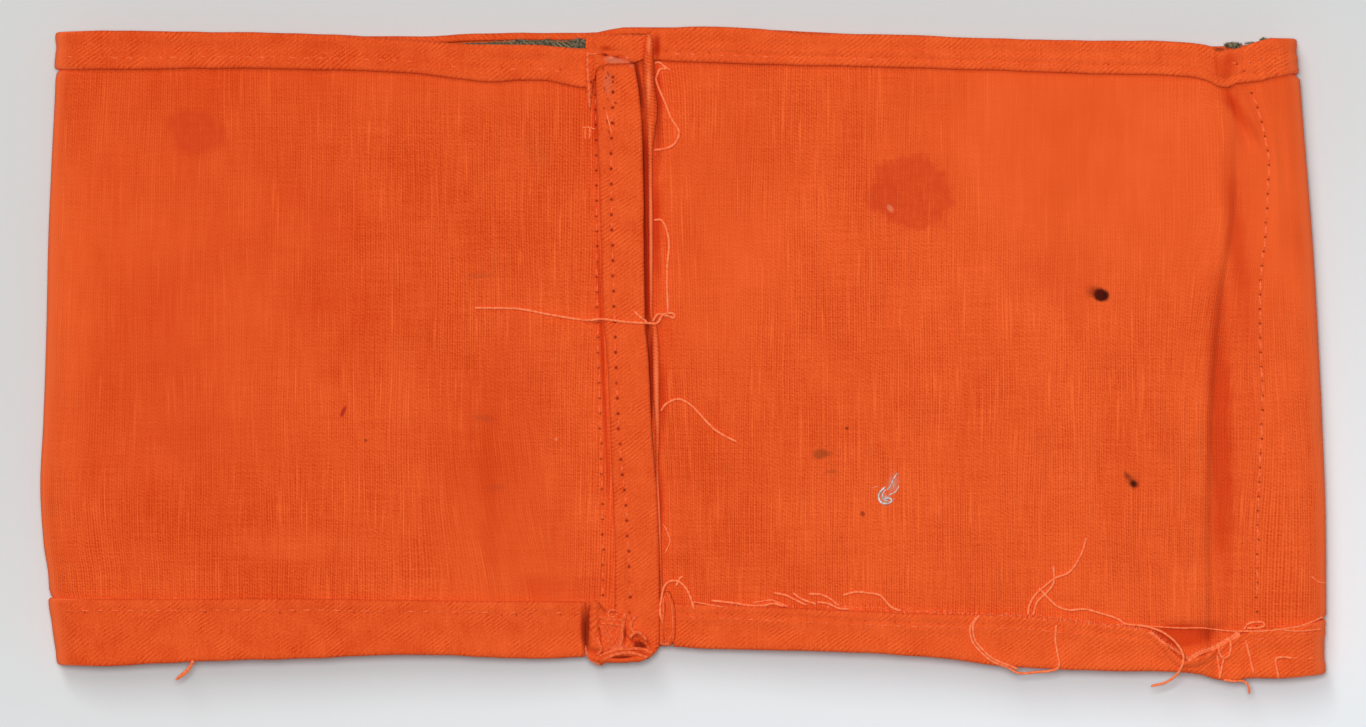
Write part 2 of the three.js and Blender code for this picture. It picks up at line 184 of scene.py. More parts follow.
def new_group(name, inputs, outputs):
    """An empty node group, with the sockets that it is given and those of its result."""
    group = bpy.data.node_groups.new(name, "ShaderNodeTree")
    for label, kind in inputs:
        group.interface.new_socket(label, in_out="INPUT", socket_type="NodeSocket" + kind)
    for label, kind in outputs:
        group.interface.new_socket(label, in_out="OUTPUT", socket_type="NodeSocket" + kind)
    return group, group.nodes.new("NodeGroupInput").outputs, group.nodes.new("NodeGroupOutput").inputs


def place_group(tree, group, **sources):
    """Puts a node group into a tree. An input named in_the_group is written in_the_group=source."""
    made = add_node(tree, "Group", node_tree=group)
    for label, source in sources.items():
        feed(tree, made.inputs[label.replace("_", " ")], source)
    return made


def split(tree, vector, axes="XY"):
    made = add_node(tree, "SeparateXYZ")
    feed(tree, made.inputs["Vector"], vector)
    return [made.outputs[axis] for axis in axes]


print("node helpers ready")

# %% [markdown]
# ## Soft light and a pale table
# The real band throws a pale shadow below it and none above or beside it. So most of the light is a
# lamp almost straight above, and a tall window beyond the top edge adds the shadow below and shades
# the creases. The sky is dim, so that narrow gaps stay dark. The table's colour is painted lighter to
# the lower right, as painted light for the light that is stronger there.

# %% Table and lights
TABLE_HALF = 1.5
PAINTED_LIGHT_WAY = (0.35, -0.94, 0.0)
PAINTED_LIGHT_REACH = 0.09
TABLE_GREY = (0.628, 0.640, 0.630, 1)
TABLE_WHITE = (0.82, 0.86, 0.88, 1)


def mesh_from(bm, name, *materials):
    """Turns a bmesh into a mesh and frees it."""
    mesh = bpy.data.meshes.new(name)
    bm.to_mesh(mesh)
    bm.free()
    for material in materials:
        mesh.materials.append(material)
    return mesh


def add_table():
    paint = bpy.data.materials.new("white table")
    paint.use_nodes = True
    shader = paint.node_tree.nodes["Principled BSDF"]
    # Painted light: the table's colour grows lighter along this way, from grey to white.
    paler = add_node(paint.node_tree, "VectorMath", operation="DOT_PRODUCT")
    feed(paint.node_tree, paler.inputs[0], add_node(paint.node_tree, "TexCoord").outputs["Object"])
    paler.inputs[1].default_value = PAINTED_LIGHT_WAY
    share = ramp(paint.node_tree, paler.outputs["Value"], -PAINTED_LIGHT_REACH, PAINTED_LIGHT_REACH)
    share = maths(paint.node_tree, "POWER", share, 2.0)
    feed(paint.node_tree, shader.inputs["Base Color"],
         blend_colours(paint.node_tree, share, TABLE_GREY, TABLE_WHITE))
    shader.inputs["Roughness"].default_value = 0.6
    shader.inputs["Specular IOR Level"].default_value = 0.2
    bm = bmesh.new()
    bmesh.ops.create_grid(bm, x_segments=1, y_segments=1, size=TABLE_HALF)
    add_object("table top", mesh_from(bm, "table top", paint))


def add_softbox(name, place, width, length, watts):
    """A rectangular area light that looks at the middle of the band."""
    data = bpy.data.lights.new(name, "AREA")
    data.shape = "RECTANGLE"
    data.size = width
    data.size_y = length
    data.energy = watts
    light = add_object(name, data)
    light.location = place
    light.rotation_euler = (-Vector(place)).to_track_quat("-Z", "Y").to_euler()


def set_sky(brightness):
    world = bpy.data.worlds.new("even sky")
    world.use_nodes = True
    world.node_tree.nodes["Background"].inputs["Color"].default_value = (0.97, 0.98, 1.0, 1)
    world.node_tree.nodes["Background"].inputs["Strength"].default_value = brightness
    bpy.context.scene.world = world


add_table()
add_softbox("lamp above the table", (-0.05, 0.12, 2.5), 0.4, 0.4, 32.0)
add_softbox("window beyond the top edge", (-0.45, 1.05, 2.2), 0.5, 1.5, 20.0)
set_sky(0.22)
bpy.context.scene.view_settings.view_transform = "Standard"
print("lights:", [light.name for light in bpy.data.lights])

# %% [markdown]
# ## A smooth line through a few measured places
# Cloth changes height and outline gently, so every edge and crease is a short table of places that a
# smooth line runs through. A monotone cubic is the right kind: it rounds each change, and it never
# swings past a measured value, which an ordinary spline does beside a sharp step.


# %% Smooth lines
class SmoothLine:
    """Runs through (place, value) pairs, rounding every change without overshooting."""

    def __init__(self, *points):
        points = sorted(points)
        self.places = [place for place, value in points]
        self.values = [value for place, value in points]
        steps = [b - a for a, b in zip(self.places, self.places[1:])]
        rises = [(b - a) / step for a, b, step in zip(self.values, self.values[1:], steps)]
        self.slopes = [rises[0]] if rises else [0.0]
        for before, after, rise, next_rise in zip(steps, steps[1:], rises, rises[1:]):
            self.slopes.append(self.meeting_slope(before, after, rise, next_rise))
        self.slopes.append(rises[-1] if rises else 0.0)

    @staticmethod
    def meeting_slope(before, after, rise, next_rise):
        if rise * next_rise <= 0:
            return 0.0
        weight = 2 * after + before
        other = after + 2 * before
        return (weight + other) / (weight / rise + other / next_rise)

    def __call__(self, at):
        if at <= self.places[0]:
            return self.values[0]
        if at >= self.places[-1]:
            return self.values[-1]
        k = bisect_right(self.places, at) - 1
        step = self.places[k + 1] - self.places[k]
        t = (at - self.places[k]) / step
        share = t * t * (3 - 2 * t)
        leaving = t * (1 - t) ** 2 * self.slopes[k]
        arriving = t * t * (t - 1) * self.slopes[k + 1]
        return (1 - share) * self.values[k] + share * self.values[k + 1] + step * (leaving + arriving)


def lerp(start, end, share):
    return start + (end - start) * share


def soft_step(share):
    share = min(max(share, 0.0), 1.0)
    return share * share * (3 - 2 * share)


def hump(away):
    """1 where away is 0, falling off smoothly on both sides."""
    return math.exp(-(away**2))


def smooth_noise(x, y, layer):
    """Noise from -1 to 1 whose waves are about 1 wide. layer tells like waves apart."""
    return noise.noise(Vector((x, y, layer)))


print("half way up a step:", SmoothLine((0, 0), (1, 1), (2, 1))(0.5))

# %% [markdown]
# ## The outline of the flattened band
# These are the edges of the front layer in millimetres, from the middle of the armband. The band was
# cut by hand and has been worn, so no edge is straight: the right half sits a little higher than the
# left, the hem dips at the groove near the right end, and it gapes there in an open notch.

# %% Edges of the front layer
LEFT_END = SmoothLine(
    (-49.4, -98.5), (-44.7, -99.4), (-40, -99.9), (-35, -100.2), (-30.5, -100.9), (-21, -101.45),
    (-11.5, -101), (3, -100.5), (17, -100.2), (31, -99.6), (41, -99.1), (50.7, -98.8))
RIGHT_END = SmoothLine(
    (-50.4, 101.5), (-26, 101.4), (-11.5, 100.9), (3, 100.2), (17, 99.4), (31, 98.3), (41, 97.5),
    (49.8, 96.9))
EDGES = {
    "left": {
        "bottom edge": SmoothLine(
            (-98.5, -49.4), (-92, -49.4), (-84, -49), (-76, -48.6), (-60, -48.2), (-45, -47.6),
            (-38, -47.6), (-32, -47.9), (-22, -48.2), (-15, -47.9), (-4, -47.6)),
        "bottom hem": SmoothLine((-99.5, -38.8), (-60, -38.7), (-47, -38.9), (-15, -39.2)),
        "top hem": SmoothLine(
            (-98.5, 44.8), (-88, 44.5), (-76, 44.7), (-58, 44.5), (-45, 44.1), (-35, 43), (-30, 42.5),
            (-26, 42.8), (-22, 42.8), (-19, 42.3), (-16, 41.7)),
        "top edge": SmoothLine(
            (-98.8, 50.8), (-76, 50.5), (-56, 50.1), (-42, 49.1), (-32, 48.5), (-23, 48.4), (-15, 47.9),
            (-5, 47.9)),
    },
    "right": {
        "bottom edge": SmoothLine(
            (-3.6, -46.1), (3, -46.6), (14.6, -46.9), (26.5, -47.2), (42, -48.2), (50, -49.3),
            (66, -50.1), (74, -50.2), (80, -50.4), (82, -50.7), (84, -51.4), (86.6, -51.7), (90, -51.3),
            (94, -51.3), (99, -50.9), (101.5, -50.4)),
        "bottom hem": SmoothLine(
            (-4, -39.4), (0, -39.5), (34, -40.9), (55, -41.5), (63, -42.3), (69, -42.9), (73.4, -43.4),
            (76.2, -45.9), (79.3, -48.4), (80.6, -48.0), (84.6, -46.3), (88.2, -44.4), (91.5, -43.4),
            (96.4, -43), (99, -42.5), (101.5, -41.7)),
        "top hem": SmoothLine(
            (-4, 46), (0, 45.8), (48, 44.4), (70, 43.7), (76, 43.6), (80, 43.3), (83, 42.7), (84.3, 42),
            (85.7, 41.7), (87.2, 42.1), (89.3, 42.45), (91, 42.6), (93, 43.1), (97, 44.4)),
        "top edge": SmoothLine(
            (-6.4, 51.0), (3, 51.35), (11, 51.1), (18.6, 50.3), (34, 50.0), (50, 49.4), (66, 49.1),
            (76, 49.0), (82, 48.5), (84.2, 48.0), (86.6, 47.7), (91, 48.95), (93, 49.5), (95, 49.85),
            (97.5, 50.15)),
    },
}
BACK_EDGES = {
    "bottom edge": SmoothLine(
        (-93, -48.6), (-40, -47.2), (-18, -46.6), (-6, -46), (55, -48.8), (84, -50.2), (97, -50.1)),
    "bottom hem": SmoothLine((-93, -38.8), (-6, -38.8), (55, -41.6), (84, -42.6), (97, -42.3)),
    "top hem": SmoothLine(
        (-93, 44.4), (-40, 44.2), (-18, 44.7), (-6, 45.3), (55, 43.4), (84, 43), (97, 43.9)),
    "top edge": SmoothLine(
        (-93, 50.2), (-42, 49.9), (-32, 50.4), (-15, 50.5), (-13, 50.6), (-9.9, 51.35), (-4, 51.35),
        (55, 48.9), (84, 48.3), (90, 48.6), (93, 49.3), (97, 50.4)),
}
print("height at the right end:",
      round(EDGES["right"]["top edge"](98) - EDGES["right"]["bottom edge"](98), 1))

# %% [markdown]
# ## How high the front layer lies
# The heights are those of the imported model. Guide lines run across the band from its bottom edge to
# its top edge: a puffed shoulder, the crease, the foot of the heavy seam, the groove, the stitched
# line of the patch. Each has its own wandering line and its own heights, and columns of cloth are
# spaced between them, so a crease follows its real path instead of cutting across the mesh.

# %% Guide lines of the front layer
PLY = 0.55
MODEL_PLY = 1.0
LIFT = (MODEL_PLY - PLY) / 2
LEFT_REACH = 7.0
RIGHT_REACH = 3.6
FOLD_BEYOND = {"left": 0.28, "right": 0.5}
PATCH_STITCHES = SmoothLine(
    (-51, 90.8), (-39, 90.9), (-29, 91), (-17, 91.4), (-8, 91.8), (3, 91.4), (8, 91.4), (14, 91.7),
    (18, 92.2), (25, 92.6), (30, 92.8), (34, 92.2), (39, 90.9), (41.5, 89.9), (50, 89))
CREASE = SmoothLine((-48, -30.2), (-39, -30.6), (-23, -33.5), (-7, -34.6), (50, -34.9))
GROOVE = SmoothLine(
    (-51, 82.6), (-42, 82.4), (-23, 82.3), (-7.5, 82.5), (1, 83.1), (13, 84.3), (25, 86.0), (35, 86.2),
    (41.5, 85.7), (50, 85.4))


def guide(name, line, *heights):
    stations = [(i / (len(heights) - 1), height) for i, height in enumerate(heights)]
    return {"name": name, "line": line, "height": SmoothLine(*stations)}


def beside(line, distance):
    return lambda y: line(y) + distance


def straight(x):
    return lambda y: x


GUIDES = {
    "left": (
        guide("shoulder", beside(LEFT_END, LEFT_REACH + PLY / 2), 7.8, 7.9, 7.7),
        guide("puff", straight(-74), 8.5, 8.7, 8.4),
        guide("dent", straight(-57), 8.5, 8.3, 8.1),
        guide("rise", straight(-44), 8.4, 8.6, 8.2),
        guide("crease brow", CREASE, 8.0, 8.4, 8.0),
        guide("crease edge", beside(CREASE, 1.3), 7.8, 8.1, 7.85),
        guide("crease foot", beside(CREASE, 9), 6.9, 7.05, 7.1),
        guide("seam approach", straight(-18.5), 6.8, 6.8, 6.8),
        guide("hem end", SmoothLine((-48, -15.5), (50, -14.1)), 6.7, 6.7, 6.7),
        guide("seam", SmoothLine((-48, -2.4), (-20, -2.8), (3, -4.4), (50, -5.2)), 6.0, 6.0, 6.0),
    ),
    "right": (
        guide("seam", SmoothLine((-46, -3.6), (-20, -4), (3, -5.6), (51, -6.4)), 6.7, 6.7, 6.7),
        guide("hem start", SmoothLine((-46, -1.4), (-20, -2), (3, -3.2), (36, -4.2), (51, -5.3)),
              6.7, 6.7, 6.7),
        guide("beside the seam", straight(6), 7.1, 7.3, 7.2),
        guide("plain", straight(20), 8.7, 8.8, 8.7),
        guide("middle", straight(42), 8.9, 9.1, 8.9),
        guide("far", straight(58), 8.9, 9.0, 8.9),
        guide("notch", straight(74), 8.9, 9.0, 8.9),
        guide("groove brow", GROOVE, 8.5, 8.8, 8.9, 8.8, 8.5),
        guide("groove floor", beside(GROOVE, 1.5), 7.8, 7.55, 7.5, 7.8, 8.2),
        guide("stitches", PATCH_STITCHES, 7.9, 7.9, 7.8),
        guide("pad", lambda y: lerp(PATCH_STITCHES(y), RIGHT_END(y) - RIGHT_REACH, 0.55), 8.0, 8.05, 7.95),
        guide("shoulder", beside(RIGHT_END, -RIGHT_REACH - PLY / 2), 7.7, 7.7, 7.6),
    ),
}
MIDDLE_Y = 0.0
LOWEST_Y = -49.0
HIGHEST_Y = 50.0


@lru_cache(maxsize=None)
def across_the_guides(side, share):
    """Where every guide is at one height of the band: lines for x and z over the middle's x."""
    y = lerp(LOWEST_Y, HIGHEST_Y, share)
    middles = [g["line"](MIDDLE_Y) for g in GUIDES[side]]
    x_line = SmoothLine(*zip(middles, [g["line"](y) for g in GUIDES[side]]))
    z_line = SmoothLine(*zip(middles, [g["height"](share) for g in GUIDES[side]]))
    return x_line, z_line


print("guides:", {side: len(lines) for side, lines in GUIDES.items()})

# %% [markdown]
# ## Soft creases and the pull of the stitches
# Between the guide lines the cloth still has shallow drag folds and dimples. Each is a line that is
# pressed in, deepest in its middle, with a few small ones where the patch pulls at its stitches. Fine
# waves from smooth noise, stretched along the warp, keep the sheet from looking ironed.

# %% Creases and waves
CREASES = (
    # name, from x, y, to x, y, depth, half width
    ("right upper drag", 42, 19, 66, -4, 0.5, 5),
    ("right lower drag", 44, -12, 53, -36, 0.4, 5),
    ("left dimple", -64, 27, -46, 25, 0.5, 7),
    ("left drag", -50, 32, -56, -6, 0.35, 5),
    ("left low dimple", -92, -10, -68, -18, 0.45, 6),
    ("pull under the top hem", 86.2, 43, 89.5, 33.2, 0.75, 0.8),
    ("pull beside it", 84.6, 42, 86.2, 36, 0.35, 0.9),
    ("ridge beside the pull", 87.9, 42, 90.6, 34.5, -0.28, 0.7),
    ("dip in the top hem", 85.2, 48.2, 85.8, 41.5, 0.5, 1.0),
)
STITCH_DEPTH = 0.22
STITCH_HALF_WIDTH = 0.55


def nearness(x, y, x1, y1, x2, y2, half_width):
    """1 on the line between two points, falling off smoothly to its sides."""
    run_x, run_y = x2 - x1, y2 - y1
    along = ((x - x1) * run_x + (y - y1) * run_y) / (run_x**2 + run_y**2)
    along = min(max(along, 0.0), 1.0)
    away = math.hypot(x - x1 - along * run_x, y - y1 - along * run_y) / half_width
    return hump(away) if away < 4 else 0.0


def ripples(x, y):
    """Slight waves of the cloth: broad ones, and finer ones that run along the warp."""
    broad = smooth_noise(x / 13, y / 21, 3.1)
    fine = smooth_noise(x / 2.6, y / 9, 8.7)
    return 0.16 * broad + 0.045 * fine


def front_point(side, column, share):
    """The middle of the front layer's cloth: column is the x it has half way up."""
    x_line, z_line = across_the_guides(side, share)
    edges = EDGES[side]
    x = x_line(column)
    y = lerp(edges["bottom edge"](x), edges["top edge"](x), share)
    z = z_line(column) + LIFT + ripples(x, y)
    for name, x1, y1, x2, y2, depth, half_width in CREASES:
        if abs(x - (x1 + x2) / 2) < abs(x2 - x1) / 2 + 3 * half_width:
            z -= depth * nearness(x, y, x1, y1, x2, y2, half_width)
    if side == "right":
        off_row = (x - PATCH_STITCHES(y)) / STITCH_HALF_WIDTH
        below_the_hem = soft_step((42.5 - y) / 1.5) * soft_step((y + 40) / 1.5)
        z -= STITCH_DEPTH * below_the_hem * hump(off_row)
    return Vector((x, y, z))


print("front at the middle:", front_point("right", 42, 0.5))

# %% [markdown]
# ## The loop
# From the seam the cloth runs right, rounds the right fold, comes back along the table, rounds the
# left fold and ends at the seam again. Each fold is half an ellipse from one layer to the other. The
# back layer rests on its hems and sags a little between them.

# %% Columns of cloth round the loop
BACK_MIDDLE = 1.46
BACK_SAG = 0.8
HEM_LIFT = {"left": 0.87, "right": 1.2}
FOLD_TURNS = 14
COLUMN = 0.85
FINE_COLUMN = 0.45
BACK_COLUMN = 2.6
FOLD_EASE = 12
FOLD_HEMS_AT = {"right": 100.5, "left": -93}


def back_point(x_line, share):
    """x_line gives the column's x for a share of the way across."""
    x = x_line(share)
    edge = BACK_EDGES
    y = lerp(edge["bottom edge"](x), edge["top edge"](x), share)
    hem_to_hem = (y - edge["bottom hem"](x)) / (edge["top hem"](x) - edge["bottom hem"](x))
    sag = BACK_SAG * math.sin(math.pi * min(max(hem_to_hem, 0.0), 1.0)) ** 2
    return Vector((x, y, BACK_MIDDLE - sag))


def hem_lines_at(side, x, layer="front"):
    """Shares of the way across at which the two hem lines lie."""
    edges = EDGES[side] if layer == "front" else BACK_EDGES
    low, high = edges["bottom edge"](x), edges["top edge"](x)
    return (edges["bottom hem"](x) - low) / (high - low), (edges["top hem"](x) - low) / (high - low)


def fold_point(start, end, turn, reach, outwards, share, hem_lines):
    """Part of the half ellipse from start to end, which reaches less far under the hems."""
    low, high = hem_lines
    under_hem = max(soft_step((low - share) / 0.012 + 0.5), soft_step((share - high) / 0.012 + 0.5))
    hem_lift = HEM_LIFT["right" if outwards > 0 else "left"]
    out = outwards * (reach - hem_lift * under_hem) * math.sin(turn)
    x = lerp(start.x, end.x, (1 - math.cos(turn)) / 2) + out
    y = lerp(start.y, end.y, turn / math.pi)
    z = (start.z + end.z) / 2 + (start.z - end.z) / 2 * math.cos(turn)
    return Vector((x, y, z + 0.6 * ripples(y, 40 * outwards + z)))


def spaced(start, end, step):
    count = max(1, round(abs(end - start) / step))
    return [lerp(start, end, i / count) for i in range(count)]


def spaced_to(start, end, step):
    """The end is one of the places too."""
    return [*spaced(start, end, step), end]


def front_columns(side, step, first, last):
    """Places of the columns from one guide to another, closer together beside a crease."""
    names = [g["name"] for g in GUIDES[side]]
    lines = GUIDES[side][names.index(first):names.index(last) + 1]
    middles = [g["line"](MIDDLE_Y) for g in lines]
    sharp = {"crease brow", "groove brow", "crease edge"}
    places = []
    for g, start, end in zip(lines, middles, middles[1:]):
        places += spaced(start, end, FINE_COLUMN if g["name"] in sharp and end - start < 2 else step)
    return places + [middles[-1]]


def loop_columns(step, back_step, first="seam", last="seam"):
    """Every column of the loop as a function from a share of the way across to a point."""
    right_places = front_columns("right", step, first, "shoulder")
    left_places = front_columns("left", step, "shoulder", last)
    right = [lambda s, c=c: front_point("right", c, s) for c in right_places]
    left = [lambda s, c=c: front_point("left", c, s) for c in left_places]
    shoulders = {"right": right[-1], "left": left[0]}
    ends = {side: shoulder(0.5).x for side, shoulder in shoulders.items()}
    back = []
    for x in spaced_to(ends["right"], ends["left"], back_step):
        near_right = soft_step(1 - (ends["right"] - x) / FOLD_EASE)
        near_left = soft_step(1 - (x - ends["left"]) / FOLD_EASE)

        def x_line(s, x=x, near_right=near_right, near_left=near_left):
            right_pull = near_right * (shoulders["right"](s).x - ends["right"])
            left_pull = near_left * (shoulders["left"](s).x - ends["left"])
            return x + right_pull + left_pull

        back.append(lambda s, line=x_line: back_point(line, s))
    right_fold, left_fold = [], []
    for i in range(1, FOLD_TURNS):
        turn = math.pi * i / FOLD_TURNS
        lines = [hem_lines_at(side, x) for side, x in FOLD_HEMS_AT.items()]
        right_fold.append(lambda s, turn=turn: fold_point(
            right[-1](s), back[0](s), turn, RIGHT_REACH + FOLD_BEYOND["right"], 1, s, lines[0]))
        left_fold.append(lambda s, turn=turn: fold_point(
            back[-1](s), left[0](s), turn, LEFT_REACH + FOLD_BEYOND["left"], -1, s, lines[1]))
    return [("right", right), ("right fold", right_fold), ("back", back), ("left fold", left_fold),
            ("left", left)]


print("columns:", sum(len(columns) for name, columns in loop_columns(COLUMN, BACK_COLUMN)))

# %% [markdown]
# ## The wrong side of the twill
# Seen from behind, a warp-faced twill shows thin upright yarns, packed 0.39 mm apart. The yarns are
# uneven: thick and thin stretches make streaks a few millimetres long, and now and then a slub shows
# as a long light line. Fainter threads cross them, and in places the diagonal of the right side comes
# through, falling the other way. The group puts out a tone and a height for colour and bump.


# %% Weave of the wrong side
YARN = 0.39
WIDE_YARN = 0.71
WEFT = 0.43
DIAGONAL = 0.56
YARN_FLOAT = 0.41


def make_wrong_side_weave():
    tree, given, result = new_group(
        "weave of the wrong side", [("Cloth", "Vector"), ("Crispness", "Float")],
        [("Tone", "Float"), ("Height", "Float")])
    u, v = split(tree, given["Cloth"])
    crisp = given["Crispness"]
    wander = swing(tree, u, v, 9.0, 26.0, 1.0, 2.0)
    warp_u = maths(tree, "MULTIPLY_ADD", wander, 1.2, u)
    packed = ramp(tree, grain(tree, u, v, 8.0, 11.0, 1.0, 5.0), 0.36, 0.60, 0.30, 1.0)
    yarns = times(tree, wave(tree, warp_u, YARN), packed)
    wide_yarns = times(tree, wave(tree, warp_u, WIDE_YARN), packed)
    crossing = times(tree, wave(tree, v, WEFT), packed)
    slant = maths(tree, "MULTIPLY_ADD", u, 0.46, times(tree, v, 0.89))
    diagonal = wave(tree, slant, DIAGONAL)
    streaks = swing(tree, warp_u, v, 0.30, 5.5, 2.0, 1.0)
    light_threads = ramp(tree, grain(tree, warp_u, v, 0.32, 16.0, 1.0, 14.0), 0.60, 0.78)
    broad_streaks = swing(tree, warp_u, v, 1.3, 13.0, 2.0, 7.0)
    weft = swing(tree, u, v, 7.0, 0.30, 2.0, 3.0)
    fuzz = swing(tree, u, v, 0.27, 0.30, 1.0, 4.0)
    slubs = ramp(tree, grain(tree, warp_u, v, 0.40, 10.0, 0.0, 9.0), 0.70, 0.80)
    fine = weighted(tree, (yarns, 0.56), (wide_yarns, 0.14), (crossing, 0.08), (diagonal, 0.14),
                    (streaks, 1.4), (light_threads, 1.3), (weft, 1.3), (fuzz, 2.2), (slubs, 1.0))
    tone = maths(tree, "MULTIPLY_ADD", fine, crisp, times(tree, broad_streaks, 0.45))
    tone = maths(tree, "SUBTRACT", tone, times(tree, crisp, 0.12))
    bumps = weighted(tree, (yarns, 0.34), (crossing, 0.10), (diagonal, 0.08), (streaks, 0.8),
                     (weft, 0.5), (fuzz, 0.8), (slubs, 0.5))
    feed(tree, result["Tone"], tone)
    feed(tree, result["Height"], maths(tree, "MULTIPLY_ADD", bumps, crisp, 0.5))
    return tree


WRONG_SIDE_WEAVE = make_wrong_side_weave()
print("nodes in the wrong side:", len(WRONG_SIDE_WEAVE.nodes))

# %% [markdown]
# ## The right side of the twill
# The right side has diagonal wales, 0.55 mm apart, that climb to the right. Wear has rubbed them away in
# most places, so the wales come and go in patches, and fuzz and fine upright streaks lie over them.


# %% Wales of the right side
def make_right_side_weave():
    tree, given, result = new_group(
        "wales of the right side",
        [("Cloth", "Vector"), ("Pitch", "Float"), ("Rise", "Float"), ("Wear", "Float")],
        [("Tone", "Float"), ("Height", "Float")])
    u, v = split(tree, given["Cloth"])
    across_u = times(tree, u, maths(tree, "SINE", given["Rise"]))
    across_v = times(tree, v, maths(tree, "COSINE", given["Rise"]))
    across = maths(tree, "SUBTRACT", across_v, across_u)
    wander = swing(tree, u, v, 7.0, 7.0, 1.0, 2.0)
    across = maths(tree, "MULTIPLY_ADD", wander, 0.9, across)
    ridge = wave(tree, across, given["Pitch"])
    floats = wave(tree, u, YARN_FLOAT)
    gone = ramp(tree, grain(tree, u, v, 5.0, 4.0, 2.0, 5.0), 0.64, 0.40, 0.0, 0.92)
    kept = maths(tree, "SUBTRACT", 1.0, times(tree, gone, given["Wear"]))
    broken = ramp(tree, grain(tree, u, v, 1.1, 0.7, 1.0, 9.0), 0.34, 0.62, 0.25, 1.0)
    speckle = swing(tree, u, v, 0.33, 0.33, 1.0, 4.0)
    streaks = swing(tree, u, v, 0.5, 3.5, 2.0, 6.0)
    broad = swing(tree, u, v, 4.0, 3.0, 2.0, 8.0)
    ridge_shown = times(tree, ridge, times(tree, kept, broken))
    tone = weighted(tree, (ridge_shown, 0.74), (floats, 0.10), (speckle, 1.9), (streaks, 0.9),
                    (broad, 1.3))
    height = weighted(tree, (ridge_shown, 0.22), (floats, 0.08), (speckle, 0.9), (0.5, 1.0))
    feed(tree, result["Tone"], tone)
    feed(tree, result["Height"], height)
    return tree


RIGHT_SIDE_WEAVE = make_right_side_weave()
print("nodes in the right side:", len(RIGHT_SIDE_WEAVE.nodes))

# %% [markdown]
# ## Needle holes
# Old stitches have left a dark hole at each end. A second UV map carries, for every point, how far it
# is from its row of stitches and how many stitches along, so a hole is a small oval wherever the count
# is whole. Not every hole gapes, so noise closes some of them.


# %% Needle holes
def make_needle_holes():
    tree, given, result = new_group(
        "needle holes", [("Row", "Vector"), ("Half Width", "Float"),
                         ("Half Length", "Float"), ("Shut", "Float")], [("Hole", "Float")])
    away, count = split(tree, given["Row"])
    nearest = maths(tree, "ROUND", count)
    along = maths(tree, "SUBTRACT", count, nearest)
    jitter = swing(tree, nearest, 0.0, 1.37, 1.0, 0.0, 3.0)
    aside = maths(tree, "MULTIPLY_ADD", jitter, 0.5, away)
    wide = maths(tree, "POWER", maths(tree, "DIVIDE", aside, given["Half Width"]), 2.0)
    long = maths(tree, "POWER", maths(tree, "DIVIDE", along, given["Half Length"]), 2.0)
    oval = ramp(tree, maths(tree, "ADD", wide, long), 1.5, 0.4)
    gapes = ramp(tree, grain(tree, nearest, 0.0, 0.73, 1.0, 0.0, 6.0), given["Shut"],
                 maths(tree, "ADD", given["Shut"], 0.40))
    feed(tree, result["Hole"], times(tree, oval, gapes))
    return tree


NEEDLE_HOLES = make_needle_holes()
print("needle holes ready")

# %% [markdown]
# ## Stains
# Something was spilled on the band twice, an ember burned it, and dirt was rubbed in. A stain
# is an oval with a wobbling edge, placed in the armband's own coordinates. The same oval also paints
# shade into gaps, creases and hollows, and light onto folds. The front and the back layer lie over
# each other, so a stain is kept to the front by its height above the table.

# %% One stain
FRONT_LAYER = (4.5, 5.5)


def make_stain():
    tree, given, result = new_group(
        "stain", [("Place", "Vector"), ("X", "Float"), ("Y", "Float"), ("Half Width", "Float"),
                  ("Half Height", "Float"), ("Turn", "Float"), ("Edge", "Float"), ("Wobble", "Float")],
        [("Mask", "Float"), ("Rim", "Float")])
    x, y, z = split(tree, given["Place"], "XYZ")
    dx = maths(tree, "SUBTRACT", x, given["X"])
    dy = maths(tree, "SUBTRACT", y, given["Y"])
    cosine = maths(tree, "COSINE", given["Turn"])
    sine = maths(tree, "SINE", given["Turn"])
    along = maths(tree, "MULTIPLY_ADD", dx, cosine, times(tree, dy, sine))
    aside = maths(tree, "SUBTRACT", times(tree, dy, cosine), times(tree, dx, sine))
    wide = maths(tree, "POWER", maths(tree, "DIVIDE", along, given["Half Width"]), 2.0)
    high = maths(tree, "POWER", maths(tree, "DIVIDE", aside, given["Half Height"]), 2.0)
    away = maths(tree, "SQRT", maths(tree, "ADD", wide, high))
    lobes = swing(tree, x, y, 4.2, 4.2, 2.0, 1.0)
    threads = swing(tree, x, y, 0.5, 2.4, 1.0, 2.0)
    wobble = times(tree, given["Wobble"], weighted(tree, (lobes, 1.3), (threads, 0.5)))
    away = maths(tree, "ADD", away, wobble)
    inner = maths(tree, "SUBTRACT", 1.0, given["Edge"])
    on_front = ramp(tree, z, *FRONT_LAYER)
    mask = times(tree, ramp(tree, away, 1.0, inner), on_front)
    rim = times(tree, ramp(tree, away, 0.55, 0.92), mask)
    feed(tree, result["Mask"], mask)
    feed(tree, result["Rim"], rim)
    return tree


STAIN = make_stain()
print("nodes in a stain:", len(STAIN.nodes))
